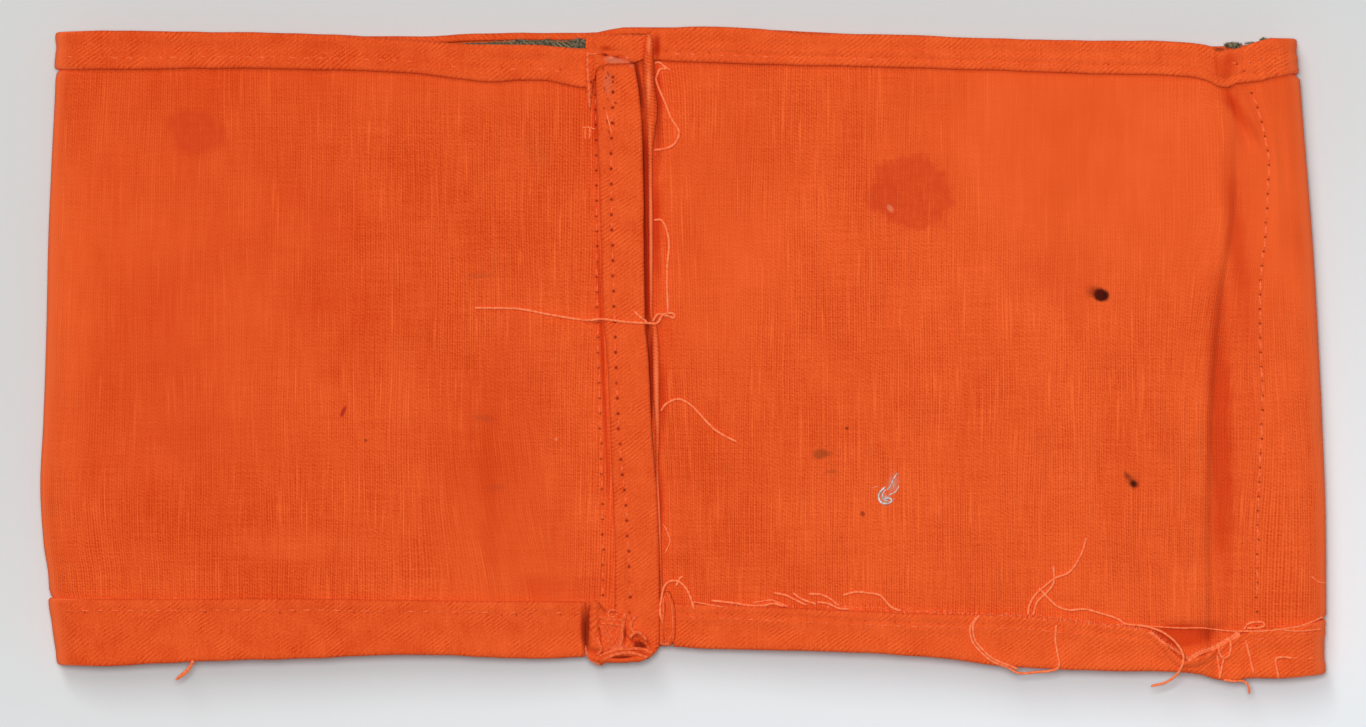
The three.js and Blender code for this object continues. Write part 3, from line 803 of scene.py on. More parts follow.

# %% [markdown]
# ## Where the stains are
# Each row is one mark on the panels. Some are stains, and some are rubbed or lighter places. Some rows
# paint shade, with some dirt, into dents, creases, the groove, the notch and gaps too narrow for the
# light to show, and some paint light onto a crease's brow and the folds.

# %% Stains on the panels
# The spill colour also paints shade in the left panel's dents and along a drag fold. The deep red and the
# gap colours paint shade in gaps, creases, hollows, the groove and the notch; the darkest of them also
# colours old holes, nicks and dark stitch marks.
SPILL_AND_SHADE_RED = (0.64, 0.052, 0.010, 1)
DEEP_RED = (0.55, 0.022, 0.0005, 1)
IN_THE_GAP = (0.26, 0.012, 0.001, 1)
GAP_SHADE_RED = (0.40, 0.016, 0.0005, 1)
RUBBED_PINK = (0.60, 0.19, 0.11, 1)
# A painted highlight for the crown of the rolled edge.
CROWN_HIGHLIGHT = (0.98, 0.24, 0.09, 1)
BROWN = (0.30, 0.050, 0.010, 1)
BURNT = (0.040, 0.004, 0.001, 1)
SCORCHED = (0.26, 0.030, 0.006, 1)
RED_DIRT = (0.42, 0.020, 0.008, 1)
GREY_DIRT = (0.36, 0.060, 0.022, 1)
PALE = (0.86, 0.26, 0.13, 1)
LIGHTER_ORANGE = (0.98, 0.165, 0.036, 1)
LINT_HAZE = (0.62, 0.27, 0.19, 1)
STAINS = (
    # name, x, y, half width, half height, turn, edge, wobble, strength, colour
    ("spill on the left", -77.0, 34.9, 5.7, 4.4, -0.35, 0.42, 0.46, 0.66, SPILL_AND_SHADE_RED),
    ("spill on the right", 36.2, 25.4, 7.6, 6.3, -0.5, 0.24, 0.46, 0.62, SPILL_AND_SHADE_RED),
    ("its tail", 31.5, 24.6, 3.2, 2.6, 0.2, 0.3, 0.3, 0.35, SPILL_AND_SHADE_RED),
    ("worn fleck in it", 32.8, 22.8, 0.55, 0.9, 0.6, 0.7, 0.6, 0.5, PALE),
    ("scorched halo", 65.7, 9.3, 2.6, 1.35, -0.35, 0.8, 0.5, 0.75, SCORCHED),
    ("burn", 66.25, 9.05, 1.55, 1.25, -0.1, 0.5, 0.5, 1.0, BURNT),
    ("dark spot's halo", 71.2, -20.4, 1.7, 1.3, -0.6, 0.9, 0.6, 0.55, SCORCHED),
    ("dark spot", 71.35, -20.75, 1.05, 0.85, -0.5, 0.75, 0.7, 0.95, BURNT),
    ("its smear", 70.4, -19.6, 1.35, 0.65, -0.9, 0.9, 0.7, 0.8, SCORCHED),
    ("brown smudge", 21.7, -16.1, 1.5, 1.05, 0.1, 0.6, 0.9, 0.62, BROWN),
    ("its wing", 23.0, -16.0, 1.1, 0.5, 0.0, 0.6, 0.8, 0.35, BROWN),
    ("faint smudge", 23.6, -18.8, 1.5, 0.55, 0.1, 0.8, 0.8, 0.35, BROWN),
    ("pin hole", 26.0, -12.0, 0.36, 0.32, 0.0, 0.5, 0.4, 0.9, SCORCHED),
    ("second pin hole", 28.5, -25.5, 0.42, 0.50, 0.4, 0.5, 0.5, 0.75, SCORCHED),
    ("red slub", -53.7, -9.4, 0.42, 1.3, -0.45, 0.6, 0.5, 0.85, RED_DIRT),
    ("small speck", -50.1, -13.9, 0.35, 0.35, 0.0, 0.6, 0.4, 0.7, SCORCHED),
    ("pale speck", -20.0, -13.7, 0.32, 0.32, 0.0, 0.7, 0.4, 0.7, PALE),
    ("dirt on the crease", -31.8, 12.2, 3.3, 0.8, 0.05, 0.9, 0.8, 0.28, GREY_DIRT),
    ("dirt below it", -31.6, -10.4, 2.2, 0.8, -0.1, 0.9, 0.8, 0.30, GREY_DIRT),
    ("dirt lower down", -29.3, -21.3, 2.6, 1.0, 0.2, 0.9, 0.8, 0.20, GREY_DIRT),
    ("faint ring", -23.2, 31.8, 3.0, 3.8, 0.4, 0.7, 1.0, 0.13, GREY_DIRT),
    # Painted shade in the dents and dimples of the left panel, and on the slope down to the seam.
    ("rubbed shoulder", -81.0, 3.0, 5.0, 24.0, 0.05, 0.9, 0.7, 0.16, SPILL_AND_SHADE_RED),
    ("rubbed middle", -57.5, 22.0, 6.0, 9.0, 0.3, 0.9, 0.9, 0.30, SPILL_AND_SHADE_RED),
    ("rubbed low", -78.0, -14.0, 13.0, 7.5, 0.1, 0.9, 0.9, 0.26, SPILL_AND_SHADE_RED),
    ("rubbed beside the seam", -26.0, -6.0, 7.0, 34.0, 0.0, 0.9, 0.6, 0.16, SPILL_AND_SHADE_RED),
    ("shade at the foot of the crease", -30.4, -20.0, 2.6, 24.0, 0.02, 0.9, 0.5, 0.26, DEEP_RED),
    ("shade above the lower left hem", -18.0, -37.0, 14.0, 3.2, 0.0, 0.9, 0.5, 0.22, DEEP_RED),
    ("shade round the burn", 60.0, 13.0, 10.0, 11.0, 0.0, 0.9, 0.6, 0.16, DEEP_RED),
    ("faded low on the left", -62.0, -30.5, 17.0, 3.6, 0.0, 0.9, 0.6, 0.22, LIGHTER_ORANGE),
    # Painted light on the rise before the crease, which faces the light.
    ("faded before the crease", -44.0, -6.0, 5.0, 13.0, 0.0, 0.9, 0.6, 0.14, LIGHTER_ORANGE),
    # Painted shade in the groove and in the pull creases under the top hem.
    ("soiled groove", 85.2, -14.0, 3.0, 34.0, 0.03, 0.75, 0.3, 0.62, DEEP_RED),
    ("soiled groove, higher up", 87.4, 19.0, 2.4, 20.0, 0.12, 0.9, 0.4, 0.42, DEEP_RED),
    ("shade under the hem's dip", 86.4, 39.6, 1.7, 2.8, 0.5, 0.9, 0.5, 0.50, DEEP_RED),
    ("soiled right of the groove", 89.0, 0.0, 3.6, 44.0, 0.0, 0.7, 0.4, 0.12, DEEP_RED),
    ("pull crease at the top", 87.6, 38.6, 1.1, 5.2, 0.42, 0.9, 0.3, 0.50, DEEP_RED),
    ("pull crease beside it", 90.2, 35.6, 0.8, 4.6, 0.42, 0.9, 0.3, 0.35, DEEP_RED),
    ("rubbed spot on the pad", 98.0, 17.0, 2.2, 4.5, 0.1, 0.9, 0.7, 0.22, SPILL_AND_SHADE_RED),
    ("faded end pad", 95.0, 0.0, 5.0, 46.0, 0.03, 0.6, 0.4, 0.08, LIGHTER_ORANGE),
    # Wear and painted light on the two folds, and painted light on the crease's brow.
    ("rubbed right fold", 100.2, 0.0, 2.2, 60.0, 0.055, 0.8, 0.2, 0.30, LIGHTER_ORANGE),
    ("faded brow of the crease", -43.0, 0.0, 8.0, 44.0, 0.03, 0.9, 0.5, 0.08, LIGHTER_ORANGE),
    ("faded left fold", -99.0, 2.0, 7.0, 50.0, 0.0, 0.9, 0.3, 0.26, LIGHTER_ORANGE),
    # Painted shade inside the gaping notch.
    ("depth of the notch", 78.8, -44.8, 6.6, 2.4, 0.0, 0.5, 0.3, 0.62, DEEP_RED),
    ("darkest in the notch", 83.6, -43.8, 3.0, 1.7, 0.35, 0.9, 0.4, 0.35, IN_THE_GAP),
    # Painted shade in the narrow gaps beside the rolled edge, the strip and the hem's end.
    ("gap beside the roll", -6.9, 42.2, 0.75, 5.4, 0.14, 0.6, 0.3, 0.85, IN_THE_GAP),
    ("gap lower down", -5.75, 20.0, 1.0, 24.0, 0.015, 0.45, 0.2, 0.95, GAP_SHADE_RED),
    ("gap beside the bulge", -5.15, -5.5, 1.0, 12.0, -0.06, 0.5, 0.2, 0.95, GAP_SHADE_RED),
    ("gap right of the roll", -3.9, 42.0, 1.0, 6.0, 0.10, 0.9, 0.4, 0.80, DEEP_RED),
    ("shade right of the roll's top", -3.8, 36.0, 1.0, 9.0, 0.0, 0.9, 0.4, 0.60, GAP_SHADE_RED),
    ("shade right of the roll", -4.2, 20.0, 1.3, 16.0, 0.02, 0.9, 0.3, 0.75, DEEP_RED),
    ("shade right of the bulge", -3.2, -7.0, 0.9, 9.0, 0.0, 0.9, 0.3, 0.60, DEEP_RED),
    ("shade right of the rim", -3.5, -24.0, 0.8, 8.5, 0.0, 0.9, 0.3, 0.70, DEEP_RED),
    ("shade left of the strip", -12.65, -1.2, 0.6, 33.0, 0.0425, 0.9, 0.3, 0.75, DEEP_RED),
    ("shade left of its top", -13.75, 38.0, 0.55, 7.5, 0.0, 0.9, 0.3, 0.75, DEEP_RED),
    ("haze round the lint", 32.0, -23.1, 1.3, 1.5, 0.3, 0.8, 0.5, 0.70, LINT_HAZE),
    ("haze above the lint", 33.2, -20.9, 1.3, 2.4, -0.25, 0.9, 0.5, 0.62, LINT_HAZE),
    ("gap beside the hem's end", -15.0, -43.6, 0.9, 5.2, -0.10, 0.7, 0.4, 0.85, IN_THE_GAP),
    # Painted shade along the drag fold.
    ("rubbed drag fold", 58.0, 11.0, 12.0, 3.2, -0.75, 0.9, 0.8, 0.14, SPILL_AND_SHADE_RED),
)
print("stains:", len(STAINS))

# %% [markdown]
# ## Marks on the seam and the hems
# The smaller marks were placed in picture pixels, like the loose threads: old stitch holes, nicks,
# painted highlights on the crown of the rolled edge, and painted shade in the hollows of the crumpled
# end, beside the roll and in the hem's dip.


# %% Marks on the seam and the hems
def from_picture(*marks):
    """Marks whose places and sizes are given in picture pixels."""
    return tuple((name, *photo_to_mm(px, py), half_width * MM_PER_PIXEL, half_height * MM_PER_PIXEL, *rest)
                 for name, px, py, half_width, half_height, *rest in marks)


SEAM_MARKS = from_picture(
    # name, pixel, half width, half height, turn, edge, wobble, strength, colour
    ("dart", 604.5, 54.8, 5.5, 1.8, -0.10, 0.8, 1.3, 0.80, IN_THE_GAP),
    ("second part of the dart", 617.5, 57.0, 6.5, 1.7, -0.15, 0.8, 1.3, 0.80, IN_THE_GAP),
    ("under it", 611, 60.5, 4, 1.3, 0.1, 0.8, 1.2, 0.50, IN_THE_GAP),
    ("end of the dart", 631.5, 62.3, 5.5, 1.7, -0.45, 0.8, 1.0, 0.85, IN_THE_GAP),
    ("rubbed under the dart", 617, 60.5, 19, 4.6, -0.10, 0.8, 0.9, 0.60, RUBBED_PINK),
    ("pale fleck at the dart", 611.5, 57.5, 2.6, 1.1, 0.2, 0.8, 0.9, 0.60, PALE),
    ("pale fleck beside it", 627, 57.8, 2.2, 1.4, -0.4, 0.8, 0.9, 0.55, PALE),
    ("pale corner of the strip", 632, 66.0, 3.2, 2.4, 0.0, 0.9, 0.7, 0.50, RUBBED_PINK),
    ("reddened above the dart", 606, 48, 8, 5, 0.0, 0.8, 0.6, 0.50, DEEP_RED),
    ("dirt on the flap's edge", 588, 60, 2.0, 3.2, 0.0, 0.8, 0.5, 0.60, IN_THE_GAP),
    ("lower dirt on the edge", 588, 68.5, 1.8, 2.4, 0.0, 0.8, 0.5, 0.55, IN_THE_GAP),
    ("old hole in the tail", 591.5, 82.5, 2.4, 2.2, 0.0, 0.7, 0.5, 0.80, IN_THE_GAP),
    ("rubbed strip", 608, 84, 7, 20, 0.0, 0.9, 0.7, 0.25, RUBBED_PINK),
    ("old hole A", 613, 82, 1.5, 2.0, 0.3, 0.7, 0.5, 0.85, IN_THE_GAP),
    ("old hole B", 613, 91.5, 1.5, 2.0, 0.0, 0.7, 0.5, 0.75, IN_THE_GAP),
    ("old hole C", 615.5, 103, 2.2, 1.5, 0.0, 0.7, 0.5, 0.75, IN_THE_GAP),
    ("old hole D", 606, 78, 1.3, 1.7, 0.0, 0.7, 0.5, 0.60, IN_THE_GAP),
    ("old hole E", 604, 108, 1.6, 1.6, 0.0, 0.7, 0.5, 0.75, IN_THE_GAP),
    ("hole over the crumple", 604, 602.5, 3.2, 5.5, 0.35, 0.6, 0.4, 0.90, IN_THE_GAP),
    ("shade left of the crumple", 587, 628, 2.6, 30, 0.0, 0.7, 0.4, 0.80, IN_THE_GAP),
    # Painted shade in the crumple's hollow, slits, pocket and dips.
    ("hollow", 640, 646, 8.5, 6.0, -0.35, 0.6, 0.4, 0.80, IN_THE_GAP),
    ("slit in the lip", 622, 657.3, 13, 1.7, 0.06, 0.7, 0.5, 0.85, IN_THE_GAP),
    ("slit between the strands", 641, 653.5, 8, 1.2, -0.15, 0.7, 0.5, 0.60, IN_THE_GAP),
    ("side of the fan", 600, 632, 1.8, 12, 0.12, 0.8, 0.5, 0.50, DEEP_RED),
    ("pocket in the fan", 625, 634, 2.0, 8, 0.0, 0.8, 0.5, 0.65, IN_THE_GAP),
    ("dip in the lip", 603, 653, 5.0, 1.8, 0.4, 0.8, 0.6, 0.45, DEEP_RED),
    ("rubbed strands", 617, 648, 14, 6, 0.1, 0.9, 0.6, 0.35, PALE),
)
NICKS = (
    (603, 68.5), (608, 73.5), (604.5, 89), (608, 99.5), (607, 121.5), (614, 124), (609, 132),
    (611, 147.5))
SEAM_MARKS += from_picture(*(("nick", *at, 1.1, 3.4, 0.25, 0.8, 0.9, 0.70, IN_THE_GAP)
                             for at in NICKS))
ROLL_MARKS = from_picture(
    # Painted highlights along the rolled edge's crown, and painted shade on its right side.
    ("rubbed crown at the top", 649, 45, 2.6, 14, 0.0, 0.9, 0.5, 0.55, CROWN_HIGHLIGHT),
    ("rubbed crown", 648.5, 86, 2.6, 28, 0.0, 0.9, 0.6, 0.60, CROWN_HIGHLIGHT),
    ("rubbed crown lower down", 650, 135, 2.2, 26, 0.0, 0.9, 0.6, 0.40, CROWN_HIGHLIGHT),
    ("shaded right side", 655, 90, 1.4, 50, -0.02, 0.9, 0.3, 0.40, DEEP_RED),
    ("rubbed ridge", 651, 230, 5, 95, 0.0, 0.8, 0.2, 0.60, CROWN_HIGHLIGHT),
    ("rubbed bulge", 656.5, 385, 3.2, 70, 0.02, 0.9, 0.4, 0.60, CROWN_HIGHLIGHT),
    ("rubbed rim", 659, 510, 5, 60, 0.0, 0.8, 0.2, 0.45, CROWN_HIGHLIGHT),
)
# Painted shade where the left hem's end curves down into the crease.
LOWER_HEM_MARKS = from_picture(("end of the left hem", 583.5, 630, 4.5, 32, 0.03, 0.8, 0.3, 0.85,
                                IN_THE_GAP))
HEM_MARKS = from_picture(
    ("shade beside the roll", 657.0, 47, 5.4, 19, 0.0, 0.85, 0.4, 0.90, GAP_SHADE_RED),
    # Painted shade in the top hem's dip.
    ("fold in the hem's dip", 1228, 66, 11, 24, -0.25, 0.9, 0.4, 0.46, DEEP_RED),
    ("edge of that fold", 1216, 66, 3.0, 22, 0.10, 0.9, 0.3, 0.36, DEEP_RED),
    ("dirt at the dip", 1219, 49.5, 8.5, 3.2, 0.0, 0.8, 0.6, 0.80, SCORCHED),
    ("old hole in the dip", 1236.5, 64, 2.0, 1.5, 0.0, 0.7, 0.5, 0.75, IN_THE_GAP),
    ("second old hole", 1243.6, 71, 2.0, 1.5, 0.0, 0.7, 0.5, 0.60, IN_THE_GAP),
    ("third old hole", 1250, 62.3, 2.0, 1.4, 0.0, 0.7, 0.5, 0.75, IN_THE_GAP),
    ("fourth old hole", 1261.4, 59.4, 2.0, 1.4, 0.0, 0.7, 0.5, 0.80, IN_THE_GAP),
    ("fifth old hole", 1275.6, 58.8, 1.6, 1.3, 0.0, 0.7, 0.5, 0.65, IN_THE_GAP),
    # Painted shade under the right hem's edge, in its dip.
    ("dirt under the right hem's edge", 1222, 70, 16, 22, 0.0, 0.9, 0.7, 0.20, DEEP_RED),
)
print("marks:", [len(marks) for marks in (SEAM_MARKS, ROLL_MARKS, LOWER_HEM_MARKS, HEM_MARKS)])

# %% [markdown]
# ## Brushed places
# Wear has brushed up the nap in broad patches, and there the weave hardly shows.

# %% Brushed places
NAP = (
    # name, x, y, half width, half height, turn, how much of the weave it hides
    ("brushed soft at the upper right", 64.0, 34.0, 52.0, 34.0, -0.45, 0.84),
    ("brushed soft on the left", -82.0, 12.0, 48.0, 54.0, 0.0, 0.62),
    ("brushed soft under the top hem", -40.0, 46.0, 60.0, 12.0, 0.0, 0.55),
    ("brushed soft beside the crease", -30.0, -28.0, 16.0, 34.0, 0.2, 0.55),
    ("brushed soft at the end pad", 96.0, 28.0, 12.0, 40.0, 0.0, 0.75),
    ("brushed soft beside the seam", 6.0, 20.0, 16.0, 36.0, 0.0, 0.45),
)
print("brushed places:", len(NAP))

# %% [markdown]
# ## The cloth materials
# Both faces of the cloth share one orange dye, so both mix the same dark and light tone by what their
# weave puts out, and both get a slow mottling; the orange is also painted lighter towards the right,
# as painted light. Cotton is matt: the shader's specular level is kept low, because the usual gloss
# would wash grey into the deep orange. Where the cloth turns down at the two folds, wear has lifted
# its fibres, and the steep faces there are painted lighter, partly for that wear and partly as
# painted light.

# %% Orange cotton, both sides
DARK_ORANGE = (0.605, 0.041, 0.002, 1)
LIGHT_ORANGE = (0.93, 0.138, 0.028, 1)
# The colour that the folds' steep faces are painted towards: wear and painted light.
FOLD_WEAR_AND_PAINTED_LIGHT = (1.00, 0.150, 0.036, 1)
FUZZ_SHEEN = (1.00, 0.40, 0.22, 1)
HOLE_SHADE = (0.20, 0.010, 0.004, 1)
COTTON_GLOSS = 0.12
COTTON_ROUGHNESS = 0.92
WALES = (0.55, 36)
ROLLED_WALES = (0.50, 14)
OLIVE_WALES = (0.62, 38)
COTTON_BUMP = 0.07
OLIVE_BUMP = 0.12
SPILL_EDGE = 0.5


def new_material(name, roughness=COTTON_ROUGHNESS, gloss=COTTON_GLOSS):
    material = bpy.data.materials.new(name)
    material.use_nodes = True
    shader = material.node_tree.nodes["Principled BSDF"]
    shader.inputs["Roughness"].default_value = roughness
    shader.inputs["Specular IOR Level"].default_value = gloss
    return material, material.node_tree, shader


def own_map(tree, name):
    return add_node(tree, "UVMap", uv_map=name).outputs["UV"]


def millimetres(tree):
    """Object coordinates in millimetres."""
    here = add_node(tree, "TexCoord").outputs["Object"]
    scaled = add_node(tree, "VectorMath", operation="SCALE")
    feed(tree, scaled.inputs[0], here)
    scaled.inputs["Scale"].default_value = 1 / MM
    return scaled.outputs["Vector"]


def dyed_cotton(tree, weave, contrast, mottling):
    """The dye's colour for a weave's tone, with slow mottling, and painted lighter towards the right as
    painted light.
    """
    u, v = split(tree, own_map(tree, "cloth"))
    slow = swing(tree, u, v, 24.0, 30.0, 3.0, 11.0)
    blotches = swing(tree, u, v, 6.0, 11.0, 2.0, 13.0)
    x, = split(tree, millimetres(tree), "X")
    # Painted light: the orange is made lighter towards the right, where the light is stronger.
    painted_light_to_right = ramp(tree, x, -80.0, 80.0, 0.43, 0.64)
    share = weighted(tree, (weave.outputs["Tone"], contrast), (slow, mottling), (blotches, 0.5 * mottling),
                     (painted_light_to_right, 1.0))
    return blend_colours(tree, within_one(tree, share), DARK_ORANGE, LIGHT_ORANGE)


def wear_and_painted_light_at_folds(tree, shader, colour):
    """Where the cloth turns down at the ends, its steep faces are painted lighter, partly for fibres lifted
    by wear and partly as painted light; the shader also gets a soft sheen.
    """
    shader.inputs["Sheen Weight"].default_value = 0.06
    shader.inputs["Sheen Roughness"].default_value = 0.45
    shader.inputs["Sheen Tint"].default_value = FUZZ_SHEEN
    upwards, = split(tree, add_node(tree, "NewGeometry").outputs["Normal"], "Z")
    level = maths(tree, "ABSOLUTE", upwards)
    x, = split(tree, millimetres(tree), "X")
    at_the_ends = ramp(tree, maths(tree, "ABSOLUTE", x), 92.0, 98.0)
    # Wear and painted light: steep faces near the two ends turn lighter.
    rubbed = times(tree, ramp(tree, level, 0.94, 0.55), at_the_ends)
    return blend_colours(tree, rubbed, colour, FOLD_WEAR_AND_PAINTED_LIGHT)


def bump(tree, shader, height, depth):
    made = add_node(tree, "Bump")
    feed(tree, made.inputs["Height"], height)
    made.inputs["Distance"].default_value = depth * MM
    made.inputs["Strength"].default_value = 1.0
    feed(tree, shader.inputs["Normal"], made.outputs["Normal"])


def pierce(tree, colour, height, half_width, half_length, shut, darkness=0.7):
    """Dark needle holes in a colour and pits in a height."""
    holes = place_group(tree, NEEDLE_HOLES, Row=own_map(tree, "stitch"), Half_Width=half_width,
                        Half_Length=half_length, Shut=shut)
    shade = times(tree, holes.outputs["Hole"], darkness)
    pierced = blend_colours(tree, shade, colour, HOLE_SHADE)
    sunk = maths(tree, "MULTIPLY_ADD", holes.outputs["Hole"], -0.7, height)
    return pierced, sunk


def oval(tree, place, name, x, y, half_width, half_height, turn, edge, wobble):
    """One stain's node, labelled with its name."""
    made = place_group(tree, STAIN, Place=place, X=x, Y=y, Half_Width=half_width, Half_Height=half_height,
                       Turn=turn, Edge=edge, Wobble=wobble)
    made.label = name
    return made


def stain_over(tree, colour, place, marks, tone):
    """Lays a table of marks over a colour: stains, and painted shade and light. A spill has a darker rim and
    lets the yarns show.
    """
    for *shape, edge, wobble, strength, tint in marks:
        stain = oval(tree, place, *shape, edge, wobble)
        amount = times(tree, stain.outputs["Mask"], strength)
        if tint is SPILL_AND_SHADE_RED and edge < SPILL_EDGE:
            uneven = grain(tree, *split(tree, place), 1.1, 1.6, 3.0, 2.0)
            amount = times(tree, amount, ramp(tree, uneven, 0.30, 0.66, 0.72, 1.12))
            amount = maths(tree, "MULTIPLY_ADD", stain.outputs["Rim"], 0.12, amount)
            amount = maths(tree, "MULTIPLY", amount, maths(tree, "MULTIPLY_ADD", tone, -0.22, 1.0),
                           clamp=True)
        colour = blend_colours(tree, amount, colour, tint)
    return colour


print("the orange goes from", DARK_ORANGE[:3], "to", LIGHT_ORANGE[:3])

# %% [markdown]
# ## The two faces of the cotton
# The wrong side takes the panels' stains and the brushed places. The right side is made once for each
# group of pieces, because each has its own marks, holes and wear.


# %% Wrong side and right side
def make_wrong_side():
    material, tree, shader = new_material("orange cotton wrong side")
    place = millimetres(tree)
    crisp = 1.0
    for *shape, hidden in NAP:
        brushed = oval(tree, place, *shape, 0.85, 0.2)
        shown = maths(tree, "MULTIPLY_ADD", brushed.outputs["Mask"], -hidden, 1.0)
        crisp = times(tree, crisp, shown)
    weave = place_group(tree, WRONG_SIDE_WEAVE, Cloth=own_map(tree, "cloth"), Crispness=crisp)
    colour = dyed_cotton(tree, weave, 0.42, 0.60)
    colour = stain_over(tree, colour, place, STAINS, weave.outputs["Tone"])
    colour, height = pierce(tree, colour, weave.outputs["Height"], 0.24, 0.085, 0.04)
    feed(tree, shader.inputs["Base Color"], wear_and_painted_light_at_folds(tree, shader, colour))
    bump(tree, shader, height, COTTON_BUMP)
    return material


SHUT_HOLE = (0.19, 0.075, 0.42)
GAPING_HOLE = (0.33, 0.115, 0.80)


def make_right_side(name, wales, marks, wear, shut=0.42, hole=SHUT_HOLE):
    """The right side, with its marks. wales is their pitch and their rise in degrees, and wear, from
    0 to 1, is how much of them has gone. hole is a needle hole's half width, its half length in
    stitches, and how dark it is."""
    material, tree, shader = new_material(name)
    place = millimetres(tree)
    if wear == "less at the right":
        wear = ramp(tree, *split(tree, place, "X"), 40.0, 70.0, 1.0, 0.2)
    weave = place_group(tree, RIGHT_SIDE_WEAVE, Cloth=own_map(tree, "cloth"), Pitch=wales[0],
                        Rise=math.radians(wales[1]), Wear=wear)
    colour = dyed_cotton(tree, weave, 0.42, 0.26)
    colour = stain_over(tree, colour, place, marks, weave.outputs["Tone"])
    colour, height = pierce(tree, colour, weave.outputs["Height"], hole[0], hole[1], shut, hole[2])
    feed(tree, shader.inputs["Base Color"], wear_and_painted_light_at_folds(tree, shader, colour))
    bump(tree, shader, height, COTTON_BUMP)
    return material


WRONG_SIDE = make_wrong_side()
RIGHT_SIDE = make_right_side("orange cotton right side", WALES, HEM_MARKS, 0.85, shut=0.30)
LOWER_SIDE = make_right_side("orange cotton lower hem", WALES, LOWER_HEM_MARKS, "less at the right",
                             shut=0.30)
SEAM_SIDE = make_right_side("orange cotton seam strip", WALES, SEAM_MARKS, 0.8, shut=0.1, hole=GAPING_HOLE)
ROLLED_SIDE = make_right_side("orange cotton rolled edge", ROLLED_WALES, ROLL_MARKS, 0.0)
print("cotton materials:", [m.name for m in (WRONG_SIDE, RIGHT_SIDE, LOWER_SIDE, SEAM_SIDE,
                                              ROLLED_SIDE)])

# %% [markdown]
# ## Olive twill, yarns and lint
# The patch has wales like the right side's, in a dull olive. A yarn or a fibre is light and dark along
# its length.


# %% Olive twill, yarns and lint
def make_olive():
    material, tree, shader = new_material("olive twill", 0.95)
    weave = place_group(tree, RIGHT_SIDE_WEAVE, Cloth=own_map(tree, "cloth"), Pitch=OLIVE_WALES[0],
                        Rise=math.radians(OLIVE_WALES[1]), Wear=0.5)
    share = weighted(tree, (weave.outputs["Tone"], 0.7), (0.45, 1.0))
    colour = blend_colours(tree, within_one(tree, share), (0.045, 0.035, 0.018, 1), (0.26, 0.21, 0.12, 1))
    feed(tree, shader.inputs["Base Color"], colour)
    bump(tree, shader, weave.outputs["Height"], OLIVE_BUMP)
    return material


def make_yarn(name, dark, light, roughness=0.85):
    """A twisted yarn or loose fibre: light and dark along its length."""
    material, tree, shader = new_material(name, roughness, 0.2)
    x, y = split(tree, millimetres(tree))
    share = ramp(tree, grain(tree, x, y, 0.5, 0.5, 2.0, 1.0), 0.32, 0.66)
    feed(tree, shader.inputs["Base Color"], blend_colours(tree, share, dark, light))
    return material


OLIVE = make_olive()
LOOSE_YARN = make_yarn("salmon loose yarn", (0.94, 0.150, 0.042, 1), (1.00, 0.27, 0.10, 1))
STITCH_YARN = make_yarn("orange stitch yarn", (0.78, 0.095, 0.020, 1), (0.95, 0.19, 0.06, 1))
OLIVE_YARN = make_yarn("olive loose yarn", (0.06, 0.05, 0.03, 1), (0.30, 0.26, 0.16, 1), 0.95)
LINT = make_yarn("grey lint", (0.42, 0.36, 0.32, 1), (0.80, 0.74, 0.70, 1), 0.95)
print("yarns:", [m.name for m in (LOOSE_YARN, STITCH_YARN, OLIVE_YARN, LINT)])

# %% [markdown]
# ## Sheets of cloth
# Every piece of cloth starts as a flat grid, whose vertices are then moved to where the cloth lies.
# Two UV maps in millimetres go with it: one for the weave, and one that tells how far a point is from
# its row of stitches and how many stitches along. A solidify modifier gives the sheet its thickness,
# with the other side of the cloth on its inner face.


# %% Making a sheet
def cloth_sheet(name, columns, rows, place, maps, outer, inner, ply=PLY, closed=False, even=True):
    """place(i, j) is where a vertex lies in mm, and maps(i, j) its pair of UV places."""
    bm = bmesh.new()
    bmesh.ops.create_grid(bm, x_segments=columns - 1, y_segments=rows - 1, size=0.5)
    bm.verts.index_update()
    cloth = bm.loops.layers.uv.new("cloth")
    stitch = bm.loops.layers.uv.new("stitch")
    pairs = []
    for vert in bm.verts:
        i = round((vert.co.x + 0.5) * (columns - 1))
        j = round((vert.co.y + 0.5) * (rows - 1))
        pairs.append(maps(i, j))
        vert.co = place(i, j) * MM
    for face in bm.faces:
        face.smooth = True
        for loop in face.loops:
            loop[cloth].uv, loop[stitch].uv = pairs[loop.vert.index]
    if closed:
        bmesh.ops.remove_doubles(bm, verts=bm.verts, dist=0.001 * MM)
    piece = add_object(name, mesh_from(bm, name, outer, inner))
    if ply:
        thicken(piece, ply, even)
    return piece


def thicken(piece, ply, even=False):
    """Gives a sheet its thickness, with the inner material on its inner face."""
    thick = piece.modifiers.new("ply", "SOLIDIFY")
    thick.thickness = ply * MM
    thick.offset = 0.0
    thick.use_even_offset = even
    thick.material_offset = 1
    thick.material_offset_rim = 0


def run_lengths(points):
    """How far along the line each point is."""
    total, lengths = 0.0, [0.0]
    for before, after in zip(points, points[1:]):
        total += (after - before).length
        lengths.append(total)
    return lengths


print("sheets are", PLY, "mm thick")

# %% [markdown]
# ## The band itself
# The panel is one sheet all the way round. It stops a little short of both long edges, because the
# turned hems make the edges themselves. Two rows of stitches cross it: the one that holds the patch
# near the right end, and an old row beside the seam.

# %% Band panel
PANEL_ROWS = 112
TRIM = 0.0114
PATCH_PITCH = 2.28
OLD_ROW = SmoothLine(
    (-40, -12.6), (-32.8, -12.6), (-15.4, -12.9), (1.2, -13.4), (35.2, -13.7), (44, -13.8))
OLD_ROW_PITCH = 2.4
NO_ROW = 99.0
NOTCH_X = 79.8


